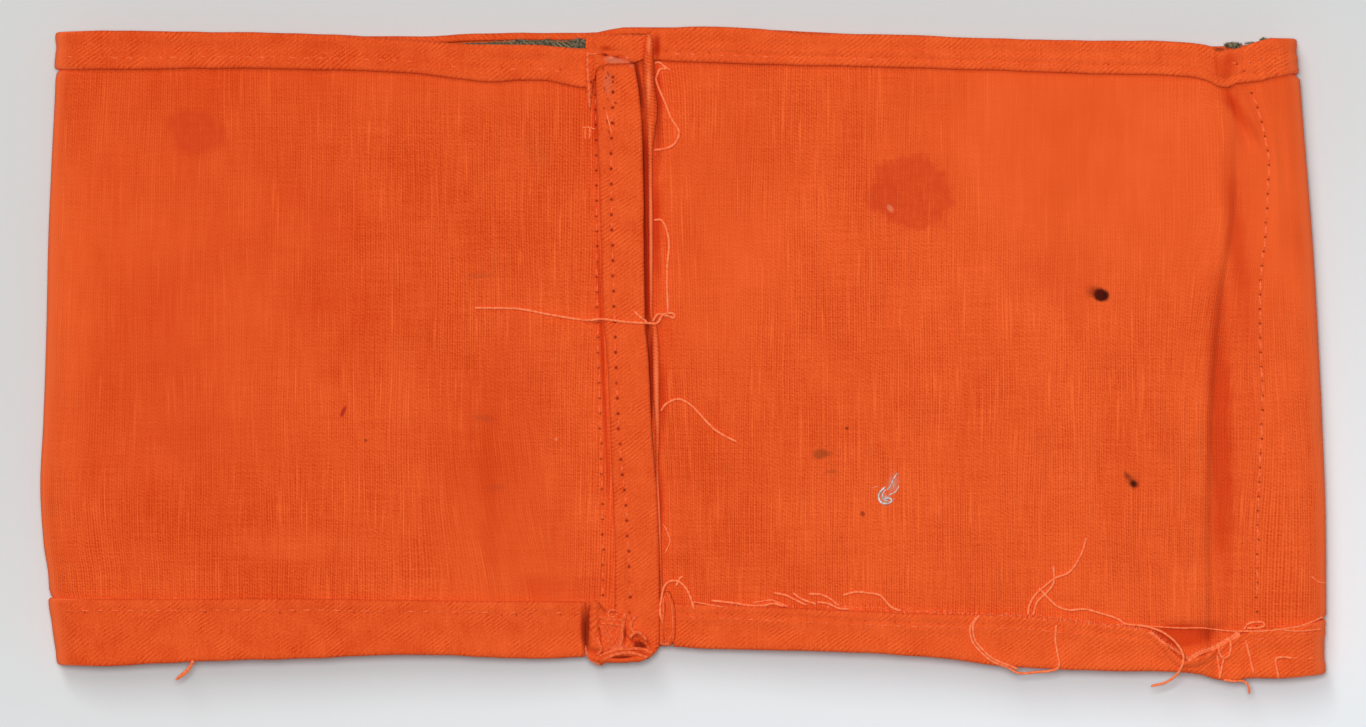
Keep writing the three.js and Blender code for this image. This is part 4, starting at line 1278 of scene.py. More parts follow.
def notch_sink(x, y):
    """How far the panel lies below its place where the hem gapes."""
    below_the_brow = soft_step((-42.0 - y) / 2.0) * soft_step((y + 50.0) / 2.5)
    return 1.2 * below_the_brow * hump((x - NOTCH_X) / 6.0)


def lay_panel():
    columns = [(name, column) for name, run in loop_columns(COLUMN, BACK_COLUMN) for column in run]
    shares = [lerp(TRIM, 1 - TRIM, j / (PANEL_ROWS - 1)) for j in range(PANEL_ROWS)]
    around = run_lengths([column(0.5) for name, column in columns])
    points = [[column(share) for share in shares] for name, column in columns]
    for (name, column), line in zip(columns, points):
        for point in line:
            point.z -= notch_sink(point.x, point.y) if name == "right" else 0.0

    def maps(i, j):
        name, point = columns[i][0], points[i][j]
        cloth = (around[i], point.y)
        if name == "right":
            return cloth, (point.x - PATCH_STITCHES(point.y), point.y / PATCH_PITCH)
        if name == "left":
            return cloth, (point.x - OLD_ROW(point.y), point.y / OLD_ROW_PITCH)
        return cloth, (-NO_ROW if name == "left fold" else NO_ROW, 0.5)

    return cloth_sheet("orange_band", len(columns), PANEL_ROWS, lambda i, j: points[i][j], maps,
                       WRONG_SIDE, RIGHT_SIDE)


BAND = lay_panel()
print("band faces:", len(BAND.data.polygons))

# %% [markdown]
# ## The turned hems
# At both long edges the cloth is turned outwards twice and stitched near its inner fold, so a hem
# shows the twill right side. Its section starts at the raw edge tucked under, goes round the inner
# fold, across the top, and round the outer edge back to the panel. Heights count from the panel's
# outer face and distances from the hem's inner line. The cloth sinks at the stitches and puffs up
# between them, so the inner fold has a fine scallop.

# %% Hem sections
HEM_PLY = 0.5
FOLD_RADIUS = 0.28
TURN_RADIUS = 0.565
SQUARE = {"fold": 0.30, "flat": 0.55}
UNDER_HEIGHT = 0.29
TOP_HEIGHT = UNDER_HEIGHT + 2 * FOLD_RADIUS
TOP_RUN = 15
FOLD_CENTRE = 0.42
EDGE_INSET = 0.82
HEM_PITCH = 2.34
HEM_STITCH_SINK = 0.24


def hem_section(width, stitch_at, sink, lift, square):
    """(distance outwards, height, is it the top) from the tucked edge round to the panel."""
    tuck = min(2.3, width - 1.2)
    section = [(tuck, UNDER_HEIGHT, False), (0.7 * tuck, UNDER_HEIGHT, False), (0.5, UNDER_HEIGHT, False)]
    middle = UNDER_HEIGHT + FOLD_RADIUS
    for k in range(1, 7):
        angle = math.pi * k / 6
        out = FOLD_RADIUS * (1 + 0.5 * lift)
        section.append((FOLD_CENTRE - FOLD_RADIUS * math.sin(angle), middle - out * math.cos(angle), k > 2))
    last = max(width - EDGE_INSET, 0.6)
    for k in range(1, TOP_RUN + 1):
        a = lerp(FOLD_CENTRE, last, k / (TOP_RUN + 1))
        hollow = 0.20 * soft_step((a - 2.0) / 1.3) * soft_step((width - 0.9 - a) / 1.6)
        dip = sink * hump((a - stitch_at) / 0.42) if stitch_at else 0.0
        section.append((a, TOP_HEIGHT - hollow - dip, True))
    for k in range(9):
        angle = math.pi * k / 8
        out, up = math.sin(angle) ** square, math.copysign(abs(math.cos(angle)) ** square, math.cos(angle))
        section.append((last + TURN_RADIUS * out, UNDER_HEIGHT + TURN_RADIUS * up, k < 5))
    section.append((last - 0.3, UNDER_HEIGHT - TURN_RADIUS, False))
    return [(a, height + lift * soft_step(1 - a / min(3.5, width)), top) for a, height, top in section]


print("points in a hem section:", len(hem_section(8.0, 2.0, 0.2, 0.0, SQUARE["flat"])))

# %% [markdown]
# ## The panel under a hem
# A hem follows the panel, so each column of the loop gets a few stations across the hem, with the
# panel's outward normal at each. The hem bridges small dips, as thick cloth does.

# %% Stations across the hems
STATIONS = 5
BRIDGE_ROUNDS = 10
HEM_STITCH_AT = {"left": 2.05, "right": 1.4}
BACK_HEMS_AT = {"right": 97, "left": -93}
BAND_END = 101.5
HEM_COLUMN, HEM_BACK_COLUMN = 0.6, 2.0
HEM_MARGIN = 0.25


def hem_lines(which, name, column, turn_share):
    """The shares of the hem's inner line and of the edge, for one column."""
    pick = 1 if which == "top" else 0
    edge_share = float(pick)
    x = column(0.93 if which == "top" else 0.07).x
    if name in ("left", "right"):
        return hem_lines_at(name, x)[pick], edge_share
    if name == "back":
        return hem_lines_at("back", x, "back")[pick], edge_share
    side = "right" if name == "right fold" else "left"
    near_front = 1 - turn_share if side == "right" else turn_share
    front = hem_lines_at(side, x if near_front > 0.5 else math.copysign(BAND_END, x))[pick]
    back = hem_lines_at("back", BACK_HEMS_AT[side], "back")[pick]
    return lerp(back, front, soft_step(2 * near_front)), edge_share


def hem_stations(which, runs):
    """Points on the panel across the hem at every column: from its inner line to the edge."""
    stations, names = [], []
    for name, run in runs:
        for k, column in enumerate(run):
            line, edge = hem_lines(which, name, column, (k + 1) / (len(run) + 1))
            start = line + math.copysign(0.006, edge - line)
            stations.append([column(lerp(start, edge, m / (STATIONS - 1))) for m in range(STATIONS)])
            names.append(name)
    bridge_dips(stations, names)
    return stations, names


def bridge_dips(stations, names):
    """A hem is several plies thick, so it lies more smoothly than the panel under it."""
    for _ in range(BRIDGE_ROUNDS):
        heights = [[point.z for point in row] for row in stations]
        for i in range(1, len(stations) - 1):
            if names[i - 1] == names[i + 1] and names[i] in ("left", "right"):
                for point, before, after in zip(stations[i], heights[i - 1], heights[i + 1]):
                    point.z = point.z / 2 + before / 4 + after / 4


def outward_normals(stations):
    """Normals of the panel, found from the neighbours along and across."""
    last = len(stations) - 1
    normals = []
    for i, row in enumerate(stations):
        before, after = stations[max(i - 1, 0)], stations[min(i + 1, last)]
        line = []
        for m in range(STATIONS):
            along = after[m] - before[m]
            across = row[min(m + 1, STATIONS - 1)] - row[max(m - 1, 0)]
            if row[-1].y < row[0].y:
                across = -across
            line.append(along.cross(across).normalized())
        normals.append(line)
    return normals


def between(values, share):
    """The value at a share of the way through evenly spaced values."""
    place = min(max(share, 0.0), 1.0) * (len(values) - 1)
    k = min(int(place), len(values) - 2)
    return values[k].lerp(values[k + 1], place - k)


print("stations across a hem:", STATIONS)

# %% [markdown]
# ## Laying the hems
# The section is set on the stations of every column. The lower hem gapes in the notch near the right
# end, where its inner fold stands up.


# %% Hems round the loop
def lay_hem(which):
    runs = loop_columns(HEM_COLUMN, HEM_BACK_COLUMN, "hem start", "hem end")
    stations, names = hem_stations(which, runs)
    normals = outward_normals(stations)
    around = run_lengths([row[2] for row in stations])
    sections, edges = [], []
    for i, (row, name) in enumerate(zip(stations, names)):
        width = max((row[-1] - row[0]).length + 2 * HEM_MARGIN, 1.5)
        x = row[0].x
        stitch_at = HEM_STITCH_AT["right" if "right" in name else "left"]
        stitch_at += 0.12 * smooth_noise(around[i] / 5, 3 if which == "top" else 7, 0.5)
        pucker = math.cos(2 * math.pi * around[i] / HEM_PITCH)
        flat = "fold" not in name
        sink = HEM_STITCH_SINK * (0.85 + 0.35 * pucker) if flat else 0.08
        lift = 0.0
        if which == "bottom" and name == "right":
            lift = 1.1 * hump((x - NOTCH_X) / 5.0)
        sections.append(hem_section(width, stitch_at, sink, lift, SQUARE["flat" if flat else "fold"]))
        edges.append((width, stitch_at))
    rows = len(sections[0])
    order = range(rows) if which == "top" else range(rows)[::-1]
    outwards = 1 if which == "top" else -1
    waver_layer = 1.7 if which == "top" else 9.3

    def place(i, j):
        a, height, on_top = sections[i][order[j]]
        run = edges[i][0] - 2 * HEM_MARGIN
        share = (a - HEM_MARGIN) / run
        base = between(stations[i], share)
        beyond = a - HEM_MARGIN - min(max(share, 0.0), 1.0) * run
        wave_x = around[i] / 4.5
        flat = "fold" not in names[i]
        waver = 0.10 * smooth_noise(wave_x, waver_layer, 2.0) if flat else 0.0
        uneven = flat and on_top
        puff = 0.07 * smooth_noise(around[i] / 2.2, a / 2.2, waver_layer) if uneven else 0.0
        bulge = 0.05 * math.cos(2 * math.pi * around[i] / HEM_PITCH) * hump(a) if uneven else 0.0
        point = base + between(normals[i], share) * (PLY / 2 + height + puff - bulge)
        point.y += outwards * (beyond + waver)
        return point

    def maps(i, j):
        a, _, on_top = sections[i][order[j]]
        v = stations[i][0].y + outwards * a
        if not on_top:
            return (around[i], v - outwards * 2.0), (NO_ROW, 0.5)
        return (around[i], v), (a - edges[i][1], around[i] / HEM_PITCH)

    outer = RIGHT_SIDE if which == "top" else LOWER_SIDE
    return cloth_sheet(f"{which}_hem", len(stations), rows, place, maps, outer, WRONG_SIDE, HEM_PLY,
                       even=False)


TOP_HEM = lay_hem("top")
BOTTOM_HEM = lay_hem("bottom")
print("hem faces:", len(TOP_HEM.data.polygons), len(BOTTOM_HEM.data.polygons))

# %% [markdown]
# ## Finding the surface
# Later pieces rest on the earlier ones. A ray cast straight down finds the highest cloth under a
# point, and the table is height zero.


# %% Height of the surface
ABOVE_ALL = 60.0


class Ground:
    """The evaluated surfaces of the pieces laid so far."""

    def __init__(self, *pieces):
        self.trees = []
        self.add(*pieces)

    def add(self, *pieces):
        depsgraph = bpy.context.evaluated_depsgraph_get()
        for piece in pieces:
            self.trees.append(BVHTree.FromObject(piece, depsgraph))

    def height(self, x, y):
        start = Vector((x, y, ABOVE_ALL)) * MM
        best = 0.0
        for tree in self.trees:
            hit = tree.ray_cast(start, Vector((0, 0, -1)))[0]
            if hit:
                best = max(best, hit.z / MM)
        return best


GROUND = Ground(BAND, TOP_HEM, BOTTOM_HEM)
print("surface at (40, 0):", round(GROUND.height(40, 0), 2), "mm")

# %% [markdown]
# ## The seam strip
# The seam allowance is pressed to one side and stitched down through everything. It reads as a strip
# with both edges folded under: its left edge lies over the old row of stitches, its right edge stands
# a little proud. Each row of its mesh is one section across the strip.

# %% Seam strip
STRIP_LEFT = SmoothLine(
    (-48.6, -8.6), (-43, -9.2), (-40.3, -10.7), (-32.8, -10.7), (-18.6, -11.2), (1.2, -12.1),
    (3.6, -12.4), (17.8, -12.9), (36.8, -13.5), (44.9, -13.8), (48.5, -13.9))
STRIP_RIGHT = SmoothLine(
    (-48.8, -7.0), (-48.3, -5.4), (-47.6, -4.5), (-47.0, -3.9), (-46.3, -3.6), (-45.5, -3.5),
    (-34.4, -3.6), (-23.3, -3.9), (-13.8, -4.7), (1.2, -5.5), (3.6, -5.8), (30.5, -6.2), (36, -6.35),
    (41.7, -6.9), (46, -7.6), (48.5, -7.8))
STRIP_ROW = SmoothLine(
    (-37.3, -8.3), (-24.9, -8.9), (-14.9, -9.9), (3.6, -10.7), (30.5, -11.3), (41.4, -11.0),
    (43, -11.0))
STRIP_PITCH = 2.42
STRIP_TOP = SmoothLine((-48.8, 8.15), (-44, 8.3), (-36, 8.35), (48, 8.35))
STRIP_ROLL = 0.36
STRIP_UNDER = -2.05 * STRIP_ROLL
LEFT_INSET, RIGHT_INSET = 0.61, 0.66
STRIP_LOW, STRIP_HIGH, STRIP_STEP = -48.7, 48.4, 0.5


def strip_section(y):
    """(x, height below the top ply, distance on the cloth) across the strip."""
    left, right, row = STRIP_LEFT(y), STRIP_RIGHT(y), STRIP_ROW(y)
    width = right - left
    tuck = min(2.6, 0.4 * width)
    section = [(left + tuck, STRIP_UNDER), (left + 0.6 * tuck, STRIP_UNDER)]
    for k in range(7):
        angle = math.pi * k / 6
        section.append((left + LEFT_INSET - STRIP_ROLL * math.sin(angle),
                        -STRIP_ROLL * (1 + math.cos(angle))))
    for k in range(1, 18):
        share = k / 18
        x = lerp(left + LEFT_INSET, right - RIGHT_INSET, share)
        crown = 0.16 * math.sin(math.pi * share)
        pucker = 0.8 + 0.3 * math.cos(2 * math.pi * y / STRIP_PITCH)
        dip = 0.30 * hump((x - row) / 0.45) * pucker
        edge_ridge = 0.10 * hump((x - left - 1.1) / 0.5)
        section.append((x, crown + edge_ridge - dip))
    for k in range(7):
        angle = math.pi * k / 6
        section.append((right - RIGHT_INSET + STRIP_ROLL * math.sin(angle),
                        STRIP_ROLL * (math.cos(angle) - 1)))
    section += [(right - 0.6 * tuck, STRIP_UNDER), (right - tuck, STRIP_UNDER)]
    return section


def lay_strip():
    ys = spaced_to(STRIP_LOW, STRIP_HIGH, STRIP_STEP)
    sections = [strip_section(y) for y in ys]

    def place(i, j):
        x, height = sections[j][i]
        y = ys[j]
        x += 0.06 * smooth_noise(x / 5, y / 3.5, 4.0)
        height += 0.07 * smooth_noise(x / 2.2, y / 4.5, 6.0)
        height -= 1.1 * nearness(x, y, *photo_to_mm(632, 645), *photo_to_mm(646, 646), 0.9)
        height -= 0.7 * nearness(x, y, *photo_to_mm(606, 655), *photo_to_mm(640, 657), 0.8)
        return Vector((x, y, STRIP_TOP(y) + height))

    def maps(i, j):
        x, height = sections[j][i]
        fold = -STRIP_ROLL if i < 4 else (STRIP_ROLL if i > len(sections[j]) - 5 else 0.0)
        on_top = height > -0.9 * STRIP_ROLL
        row = (x - STRIP_ROW(ys[j]), ys[j] / STRIP_PITCH) if on_top else (NO_ROW, 0.5)
        return (x + fold, ys[j]), row

    return cloth_sheet("twill_seam_strip", len(sections[0]), len(ys), place, maps, SEAM_SIDE, WRONG_SIDE,
                       HEM_PLY)


STRIP = lay_strip()
GROUND.add(STRIP)
print("strip faces:", len(STRIP.data.polygons))

# %% [markdown]
# ## The rolled raw edge
# Beside the strip runs the raw edge of the allowance, rolled up by wear like a cord. It is thick at
# the top, bulges again a little below the middle and dives under the strip lower down, where only a
# thin rim peeps out. Slanting ridges run round it, as the weave does on a twisted piece of cloth.

# %% Seam roll
ROLL_LINE = SmoothLine(
    (50.6, -5.25), (46, -5.4), (43.5, -5.4), (41.4, -5.15), (38.5, -4.9), (35, -5.0), (32, -5.09),
    (16, -4.98), (8.3, -4.98), (6, -4.9), (4, -4.4), (1, -4.22), (-7.5, -4.11), (-13.8, -3.97),
    (-17.8, -3.98), (-23.3, -3.8), (-31, -3.5), (-40, -3.2))
ROLL_WIDTH = SmoothLine(
    (50.6, 1.3), (46, 1.6), (43, 1.75), (38.5, 1.7), (34, 1.1), (32, 0.8), (28, 0.62), (8, 0.56),
    (5.5, 0.62), (4, 0.85), (1, 1.05), (-3, 1.1), (-7.5, 0.95), (-13.8, 0.66), (-17.8, 0.42),
    (-33, 0.38), (-40, 0.3))
ROLL_BOTTOM = SmoothLine((50.6, 7.9), (48, 8.2), (43, 8.1), (38, 7.7), (33, 7.35), (0, 7.3), (-40, 7.3))
ROLL_HEIGHT = SmoothLine(
    (50.6, 1.5), (47, 1.9), (42, 1.9), (37, 1.7), (32, 1.1), (28, 0.95), (8, 0.90), (3, 1.15),
    (-7.5, 1.1), (-14, 0.95), (-18, 0.80), (-33, 0.80), (-40, 0.6))
ROLL_TURNS = 18
ROLL_LOW, ROLL_HIGH, ROLL_STEP = -40.0, 50.4, 0.16
ROLL_TWIST = 0.66


def lay_roll():
    ys = spaced_to(ROLL_LOW, ROLL_HIGH, ROLL_STEP)

    def place(i, j):
        y = ys[j]
        turn = 2 * math.pi * (ROLL_TURNS - i) / ROLL_TURNS
        taper = math.sqrt(max(0.02, min(1.0, (y + 40.2) / 2.5, (50.6 - y) / 1.0)))
        twist = math.sin(turn + 2 * math.pi * y / ROLL_TWIST)
        rope = 1 + 0.045 * twist + 0.16 * smooth_noise(math.cos(turn), y / 1.6, 1.0)
        half_width = 0.5 * ROLL_WIDTH(y) * taper * rope
        half_height = 0.5 * ROLL_HEIGHT(y) * taper * rope
        x = ROLL_LINE(y) + 0.10 * smooth_noise(0.3, y / 6, 2.2)
        x += half_width * math.sin(turn)
        z = ROLL_BOTTOM(y) + 0.5 * ROLL_HEIGHT(y) - half_height * math.cos(turn)
        return Vector((x, y, z))

    def maps(i, j):
        girth = 0.5 * math.pi * (ROLL_WIDTH(ys[j]) + ROLL_HEIGHT(ys[j]))
        return (girth * (0.5 - i / ROLL_TURNS), ys[j]), (NO_ROW, 0.5)

    piece = cloth_sheet("rolled_raw_edge", ROLL_TURNS + 1, len(ys), place, maps, ROLLED_SIDE, WRONG_SIDE,
                        ply=0.0, closed=True)
    return close_ends(piece)


def close_ends(piece):
    """Caps the open ends of a tube."""
    bm = bmesh.new()
    bm.from_mesh(piece.data)
    open_edges = [edge for edge in bm.edges if edge.is_boundary]
    for face in bmesh.ops.holes_fill(bm, edges=open_edges, sides=0)["faces"]:
        face.smooth = True
    bmesh.ops.recalc_face_normals(bm, faces=bm.faces)
    bm.to_mesh(piece.data)
    bm.free()
    return piece


ROLL = lay_roll()
GROUND.add(ROLL)
print("roll faces:", len(ROLL.data.polygons))

# %% [markdown]
# ## Cutting a sheet along a worn outline
# Two pieces of the seam have outlines that no grid of straight rows can follow: the flap at the top and
# the crumple at the bottom. Both are fine sheets whose faces outside an outline, read in picture
# pixels, are left out. Their stepped rim is then smoothed.


# %% Cut sheets
def inside(px, py, outline):
    """Is the pixel inside the outline?"""
    within = False
    for (x1, y1), (x2, y2) in zip(outline, outline[1:] + outline[:1]):
        if (y1 > py) != (y2 > py) and px < x1 + (py - y1) * (x2 - x1) / (y2 - y1):
            within = not within
    return within


def cut_sheet(name, outline, step, height, ply, cloth_slant=0.0):
    """A sheet of twill inside an outline of picture pixels, at height(px, py) mm."""
    left, right = min(px for px, py in outline) - 1, max(px for px, py in outline) + 1
    top, bottom = min(py for px, py in outline) - 1, max(py for px, py in outline) + 1
    columns = round((right - left) / step) + 1
    rows = round((bottom - top) / step) + 1

    def pixel(i, j):
        return lerp(left, right, i / (columns - 1)), lerp(bottom, top, j / (rows - 1))

    def place(i, j):
        px, py = pixel(i, j)
        return Vector((*photo_to_mm(px, py), height(px, py)))

    def maps(i, j):
        point = place(i, j)
        return (point.x + cloth_slant * point.y, point.y + cloth_slant * point.z), (NO_ROW, 0.5)

    piece = cloth_sheet(name, columns, rows, place, maps, SEAM_SIDE, WRONG_SIDE, ply=0.0)
    bm = bmesh.new()
    bm.from_mesh(piece.data)
    outside = []
    for face in bm.faces:
        middle = face.calc_center_median() / MM
        px = middle.x / MM_PER_PIXEL + ORIGIN_PIXEL[0]
        py = ORIGIN_PIXEL[1] - middle.y / MM_PER_PIXEL
        if not inside(px, py, outline):
            outside.append(face)
    bmesh.ops.delete(bm, geom=outside, context="FACES")
    rim = [vert for vert in bm.verts if vert.is_boundary]
    for _ in range(5):
        bmesh.ops.smooth_vert(bm, verts=rim, factor=0.5, use_axis_x=True, use_axis_y=True, use_axis_z=False)
    bm.to_mesh(piece.data)
    bm.free()
    thicken(piece, ply)
    smoother = piece.modifiers.new("finer", "SUBSURF")
    smoother.levels = 1
    smoother.render_levels = 1
    return piece


print("cut sheets are ready")

# %% [markdown]
# ## The flap over the top of the strip
# At the top the left hem's end reaches over the strip as a squarish flap of twill, and dips under the
# rolled edge. A dart is pressed into its lower side, rubbed pale, where old dark stitches hold
# everything together. Its left side runs down a little further as a narrow tail.

# %% Top flap
FLAP_TOP = 9.12
FLAP_OUTLINE = (
    (585.5, 36), (587, 35), (650, 34), (651, 45), (649, 55), (643, 59.5), (637, 62), (633, 63.5),
    (620, 64.2), (606, 64.5), (600, 66.5), (596, 71), (594.5, 78), (593, 84), (592, 96), (590.5, 106),
    (587.5, 106), (586.5, 95), (585.5, 80))
FLAP_FOLDS = (
    # name, from pixel, to pixel, height in mm, half width in pixels
    ("dart", 600, 54.5, 620, 56.5, -0.40, 2.4),
    ("end of the dart", 620, 56.5, 634, 62.5, -0.42, 2.4),
    ("nick", 603, 56.5, 607, 55.5, -0.30, 1.3),
    ("nick", 616, 58.5, 620, 56.5, -0.30, 1.3),
    ("worn knot", 610, 57, 613, 58.5, 0.30, 1.5),
    ("worn knot", 625, 57.5, 628, 58.5, 0.30, 1.5),
    ("crease above the dart", 604, 50, 622, 51.5, -0.22, 2.4),
    ("puff above it", 598, 45, 632, 47, 0.20, 4.0),
    ("left edge", 588.5, 38, 588.5, 100, 0.20, 2.0),
    ("dip beside it", 593, 58, 593, 80, -0.28, 1.8),
    ("worn lip", 604, 62, 630, 62, 0.22, 2.2),
    ("pucker", 587, 59, 592, 58, -0.22, 1.5),
    ("pucker", 586, 69, 592, 69, -0.22, 1.5),
    ("pucker", 587, 82.5, 593, 82, -0.30, 1.6),
    ("pucker", 587, 93, 592, 93, -0.22, 1.5),
    ("dip towards the roll", 650, 34, 645, 58, -0.60, 3.2),
)


def flap_height(px, py):
    z = FLAP_TOP - 0.55 * soft_step((597 - px) / 9)
    for name, x1, y1, x2, y2, height, half_width in FLAP_FOLDS:
        z += height * nearness(px, py, x1, y1, x2, y2, half_width)
    z -= 0.45 * soft_step((39 - py) / 4) ** 2
    z -= 0.55 * soft_step((py - 70) / 30)
    z += 0.10 * smooth_noise(px / 7, py / 7, 1.0)
    return z + 0.05 * smooth_noise(px / 2.5, py / 2.5, 5.0)


FLAP = cut_sheet("flap_over_strip", FLAP_OUTLINE, 1.0, flap_height, 0.45)
GROUND.add(FLAP)
print("flap faces:", len(FLAP.data.polygons))

# %% [markdown]
# ## The crumpled lower end
# The seam's lower end is a frayed crumple: the left hem's end stands up as a ridge, thin cords of
# frayed weave fan down from it, a loop of thread lies on top, and at the right the cloth curls round
# a hollow. Its height is the sum of many small ridges and hollows, each a line in picture pixels.

# %% Crumpled end
BUNCH_STEP = 0.8
BUNCH_TOP = 8.72
BUNCH_OUTLINE = (
    (590.5, 604), (592, 601.5), (596, 601), (600, 604), (604, 610), (610, 613.5), (618, 613),
    (622, 614), (628, 614), (632, 618), (633, 629), (637.5, 630), (643, 632.5), (647, 638), (647, 643),
    (650, 647), (653.5, 649.5), (653.5, 653), (650, 656.5), (645, 659.5), (638, 661.3), (625, 662),
    (610, 662), (603.5, 663), (601, 666), (598.5, 663.5), (592, 661), (588, 658), (586, 653),
    (586, 647.5), (588.5, 640), (589.5, 630), (590, 615))
RIDGES = (
    # name, from pixel, to pixel, height in mm, half width in pixels
    ("hem's end", 594, 604, 595, 646, 0.50, 4.2),
    ("brow of the hem's end", 593, 603, 597, 607, 0.3, 3.0),
    ("fold under the hole", 602, 617, 622, 620, 0.26, 2.2),
    ("second fold", 605, 622, 622, 626, 0.16, 1.8),
    ("cord", 601, 624, 604.5, 646, 0.16, 1.1),
    ("cord", 605, 624, 609.5, 648, 0.17, 1.1),
    ("cord", 609, 623, 614, 647, 0.16, 1.1),
    ("cord", 613, 623, 617.5, 646, 0.16, 1.1),
    ("cord", 617, 622, 620.5, 643, 0.15, 1.1),
    ("pale strand fold", 622.5, 616, 621, 646, 0.34, 1.9),
    ("fold beside it", 630, 618, 629, 634, 0.24, 1.8),
    ("rim of the hollow", 630.5, 636, 637, 632, 0.50, 1.7),
    ("rim of the hollow", 637, 632, 645.5, 638, 0.55, 1.8),
    ("tail of the rim", 645.5, 638, 645.5, 644, 0.25, 1.5),
    ("lip", 588, 657, 601, 660.5, 0.30, 2.4),
    ("lip", 601, 660.5, 625, 660.5, 0.28, 1.8),
    ("lip", 625, 660.5, 648, 658, 0.28, 1.8),
    ("lip", 648, 658, 656, 651, 0.26, 1.8),
    ("upper strand", 604, 655, 622, 649, 0.26, 1.8),
    ("upper strand", 622, 649, 640, 648.5, 0.26, 1.8),
    ("upper strand", 640, 648.5, 653, 652, 0.24, 1.8),
    ("lower strand", 603, 658, 622, 652.5, 0.24, 1.6),
    ("lower strand", 622, 652.5, 636, 653.5, 0.24, 1.6),
    ("lower strand", 636, 653.5, 648, 657, 0.22, 1.6),
    ("foot of the cords", 597, 647, 606, 652, 0.25, 2.4),
    ("flare", 598, 640, 601, 650, 0.3, 1.4),
    ("nub", 600.5, 662, 601, 665, 0.2, 1.6),
    ("dark hole", 602, 604, 606, 610, -0.9, 2.6),
    ("dark seam beside the cords", 599, 622, 601, 642, -0.35, 1.4),
    ("slit", 612, 657.5, 633, 657, -0.45, 1.3),
    ("slit between strands", 634, 651, 650, 654.5, -0.25, 1.0),
    ("hollow", 635, 641, 644, 648, -1.25, 3.6),
    ("hollow's mouth", 633, 639, 637, 643, -0.5, 2.6),
    ("pocket", 625.5, 628, 625.5, 642, -0.40, 1.6),
    ("pocket", 610, 650, 603, 653, -0.25, 1.4),
    ("dip left of the lip", 590, 650, 597, 655, -0.20, 1.8),
)


def bunch_base(px, py):
    """The seam's lower end without its ridges: high in the middle, dropping to the lip."""
    z = BUNCH_TOP
    z -= 0.35 * soft_step((px - 622) / 25) * soft_step((650 - py) / 20)
    z -= 1.3 * soft_step((py - 657) / 8) ** 2
    z -= 0.9 * soft_step((592 - px) / 5)
    z -= 1.0 * soft_step((px - 652) / 6) ** 2
    return z - 0.5 * soft_step((620 - py) / 8) * soft_step((px - 600) / 8)


def bunch_height(px, py):
    z = bunch_base(px, py)
    for name, x1, y1, x2, y2, height, half_width in RIDGES:
        z += height * nearness(px, py, x1, y1, x2, y2, half_width)
    z += 0.14 * smooth_noise(px / 4.1, py / 4.1, 2.0)
    return z + 0.07 * smooth_noise(px / 1.7, py / 1.7, 4.0)


BUNCH = cut_sheet("crumpled_seam_end", BUNCH_OUTLINE, BUNCH_STEP, bunch_height, 0.45, 0.45)
GROUND.add(BUNCH)
print("bunch faces:", len(BUNCH.data.polygons))

# %% [markdown]
# ## The tongue beside the seam
# A narrow tongue of cloth hangs between the seam and the right hem. It is pointed at the top, has a
# bright rolled right edge and ends in a fuzzy foot.

# %% Tongue
TONGUE_LEFT = SmoothLine(
    (591, 667.3), (594, 665.8), (600, 663), (608, 661.3), (620, 660.5), (635, 660), (645, 660.5))
TONGUE_RIGHT = SmoothLine(
    (591, 668), (595, 669.6), (600, 671.7), (606, 673.6), (620, 674.9), (632, 674.9), (640, 673.4),
    (645, 670.5))
TONGUE_TOP, TONGUE_FOOT = 591.5, 644.5
TONGUE_HEIGHT = 8.25


def lay_tongue():
    across, down = 16, 60

    def place(i, j):
        py = lerp(TONGUE_FOOT, TONGUE_TOP, j / (down - 1))
        share = i / (across - 1)
        px = lerp(TONGUE_LEFT(py), TONGUE_RIGHT(py), share)
        x, y = photo_to_mm(px, py)
        z = TONGUE_HEIGHT + 0.22 * hump((share - 0.92) / 0.12)
        z += 0.20 * hump((share - 0.12) / 0.13)
        z -= 0.16 * hump((share - 0.30) / 0.10)
        z -= 0.30 * soft_step((603 - py) / 12)
        z -= 0.7 * soft_step((py - 640) / 6)
        z += 0.08 * smooth_noise(px / 3, py / 6, 3.0)
        return Vector((x, y, z))

    def maps(i, j):
        point = place(i, j)
        return (point.x, point.y), (NO_ROW, 0.5)

    return cloth_sheet("tongue_beside_seam", across, down, place, maps, WRONG_SIDE, RIGHT_SIDE, 0.5)


TONGUE = lay_tongue()
GROUND.add(TONGUE)
print("tongue faces:", len(TONGUE.data.polygons))

# %% [markdown]
# ## The olive patch inside
# The patch is sewn to the inside, so it rounds the right fold with the band. Its top edge is frayed
# and shows in the mouth between the front and the back.

# %% Inner patch
PATCH_GAP = 0.05
PATCH_PLY = 0.6
PATCH_BACK_START = -40.0
PATCH_FRONT_END = 88.6
PATCH_BOTTOM = -37.0
PATCH_TOP = SmoothLine(
    (-40, 49.15), (-33.7, 49.2), (-25.9, 49.6), (-21.4, 49.6), (-15.9, 49.8), (-5, 49.2), (60, 48.7),
    (84, 48.7), (92, 49.5), (101, 49.7))
PATCH_ROWS = 70
PATCH_COLUMN, PATCH_BACK_COLUMN = 1.2, 1.4


def patch_columns():
    """The loop's columns that have the patch behind them: the back's, the right fold's and the front's."""
    runs = dict(loop_columns(PATCH_COLUMN, PATCH_BACK_COLUMN))
    front = [c for c in runs["right"] if c(0.5).x > PATCH_FRONT_END]
    back = [c for c in runs["back"] if c(0.5).x > PATCH_BACK_START]
    return front + runs["right fold"] + back


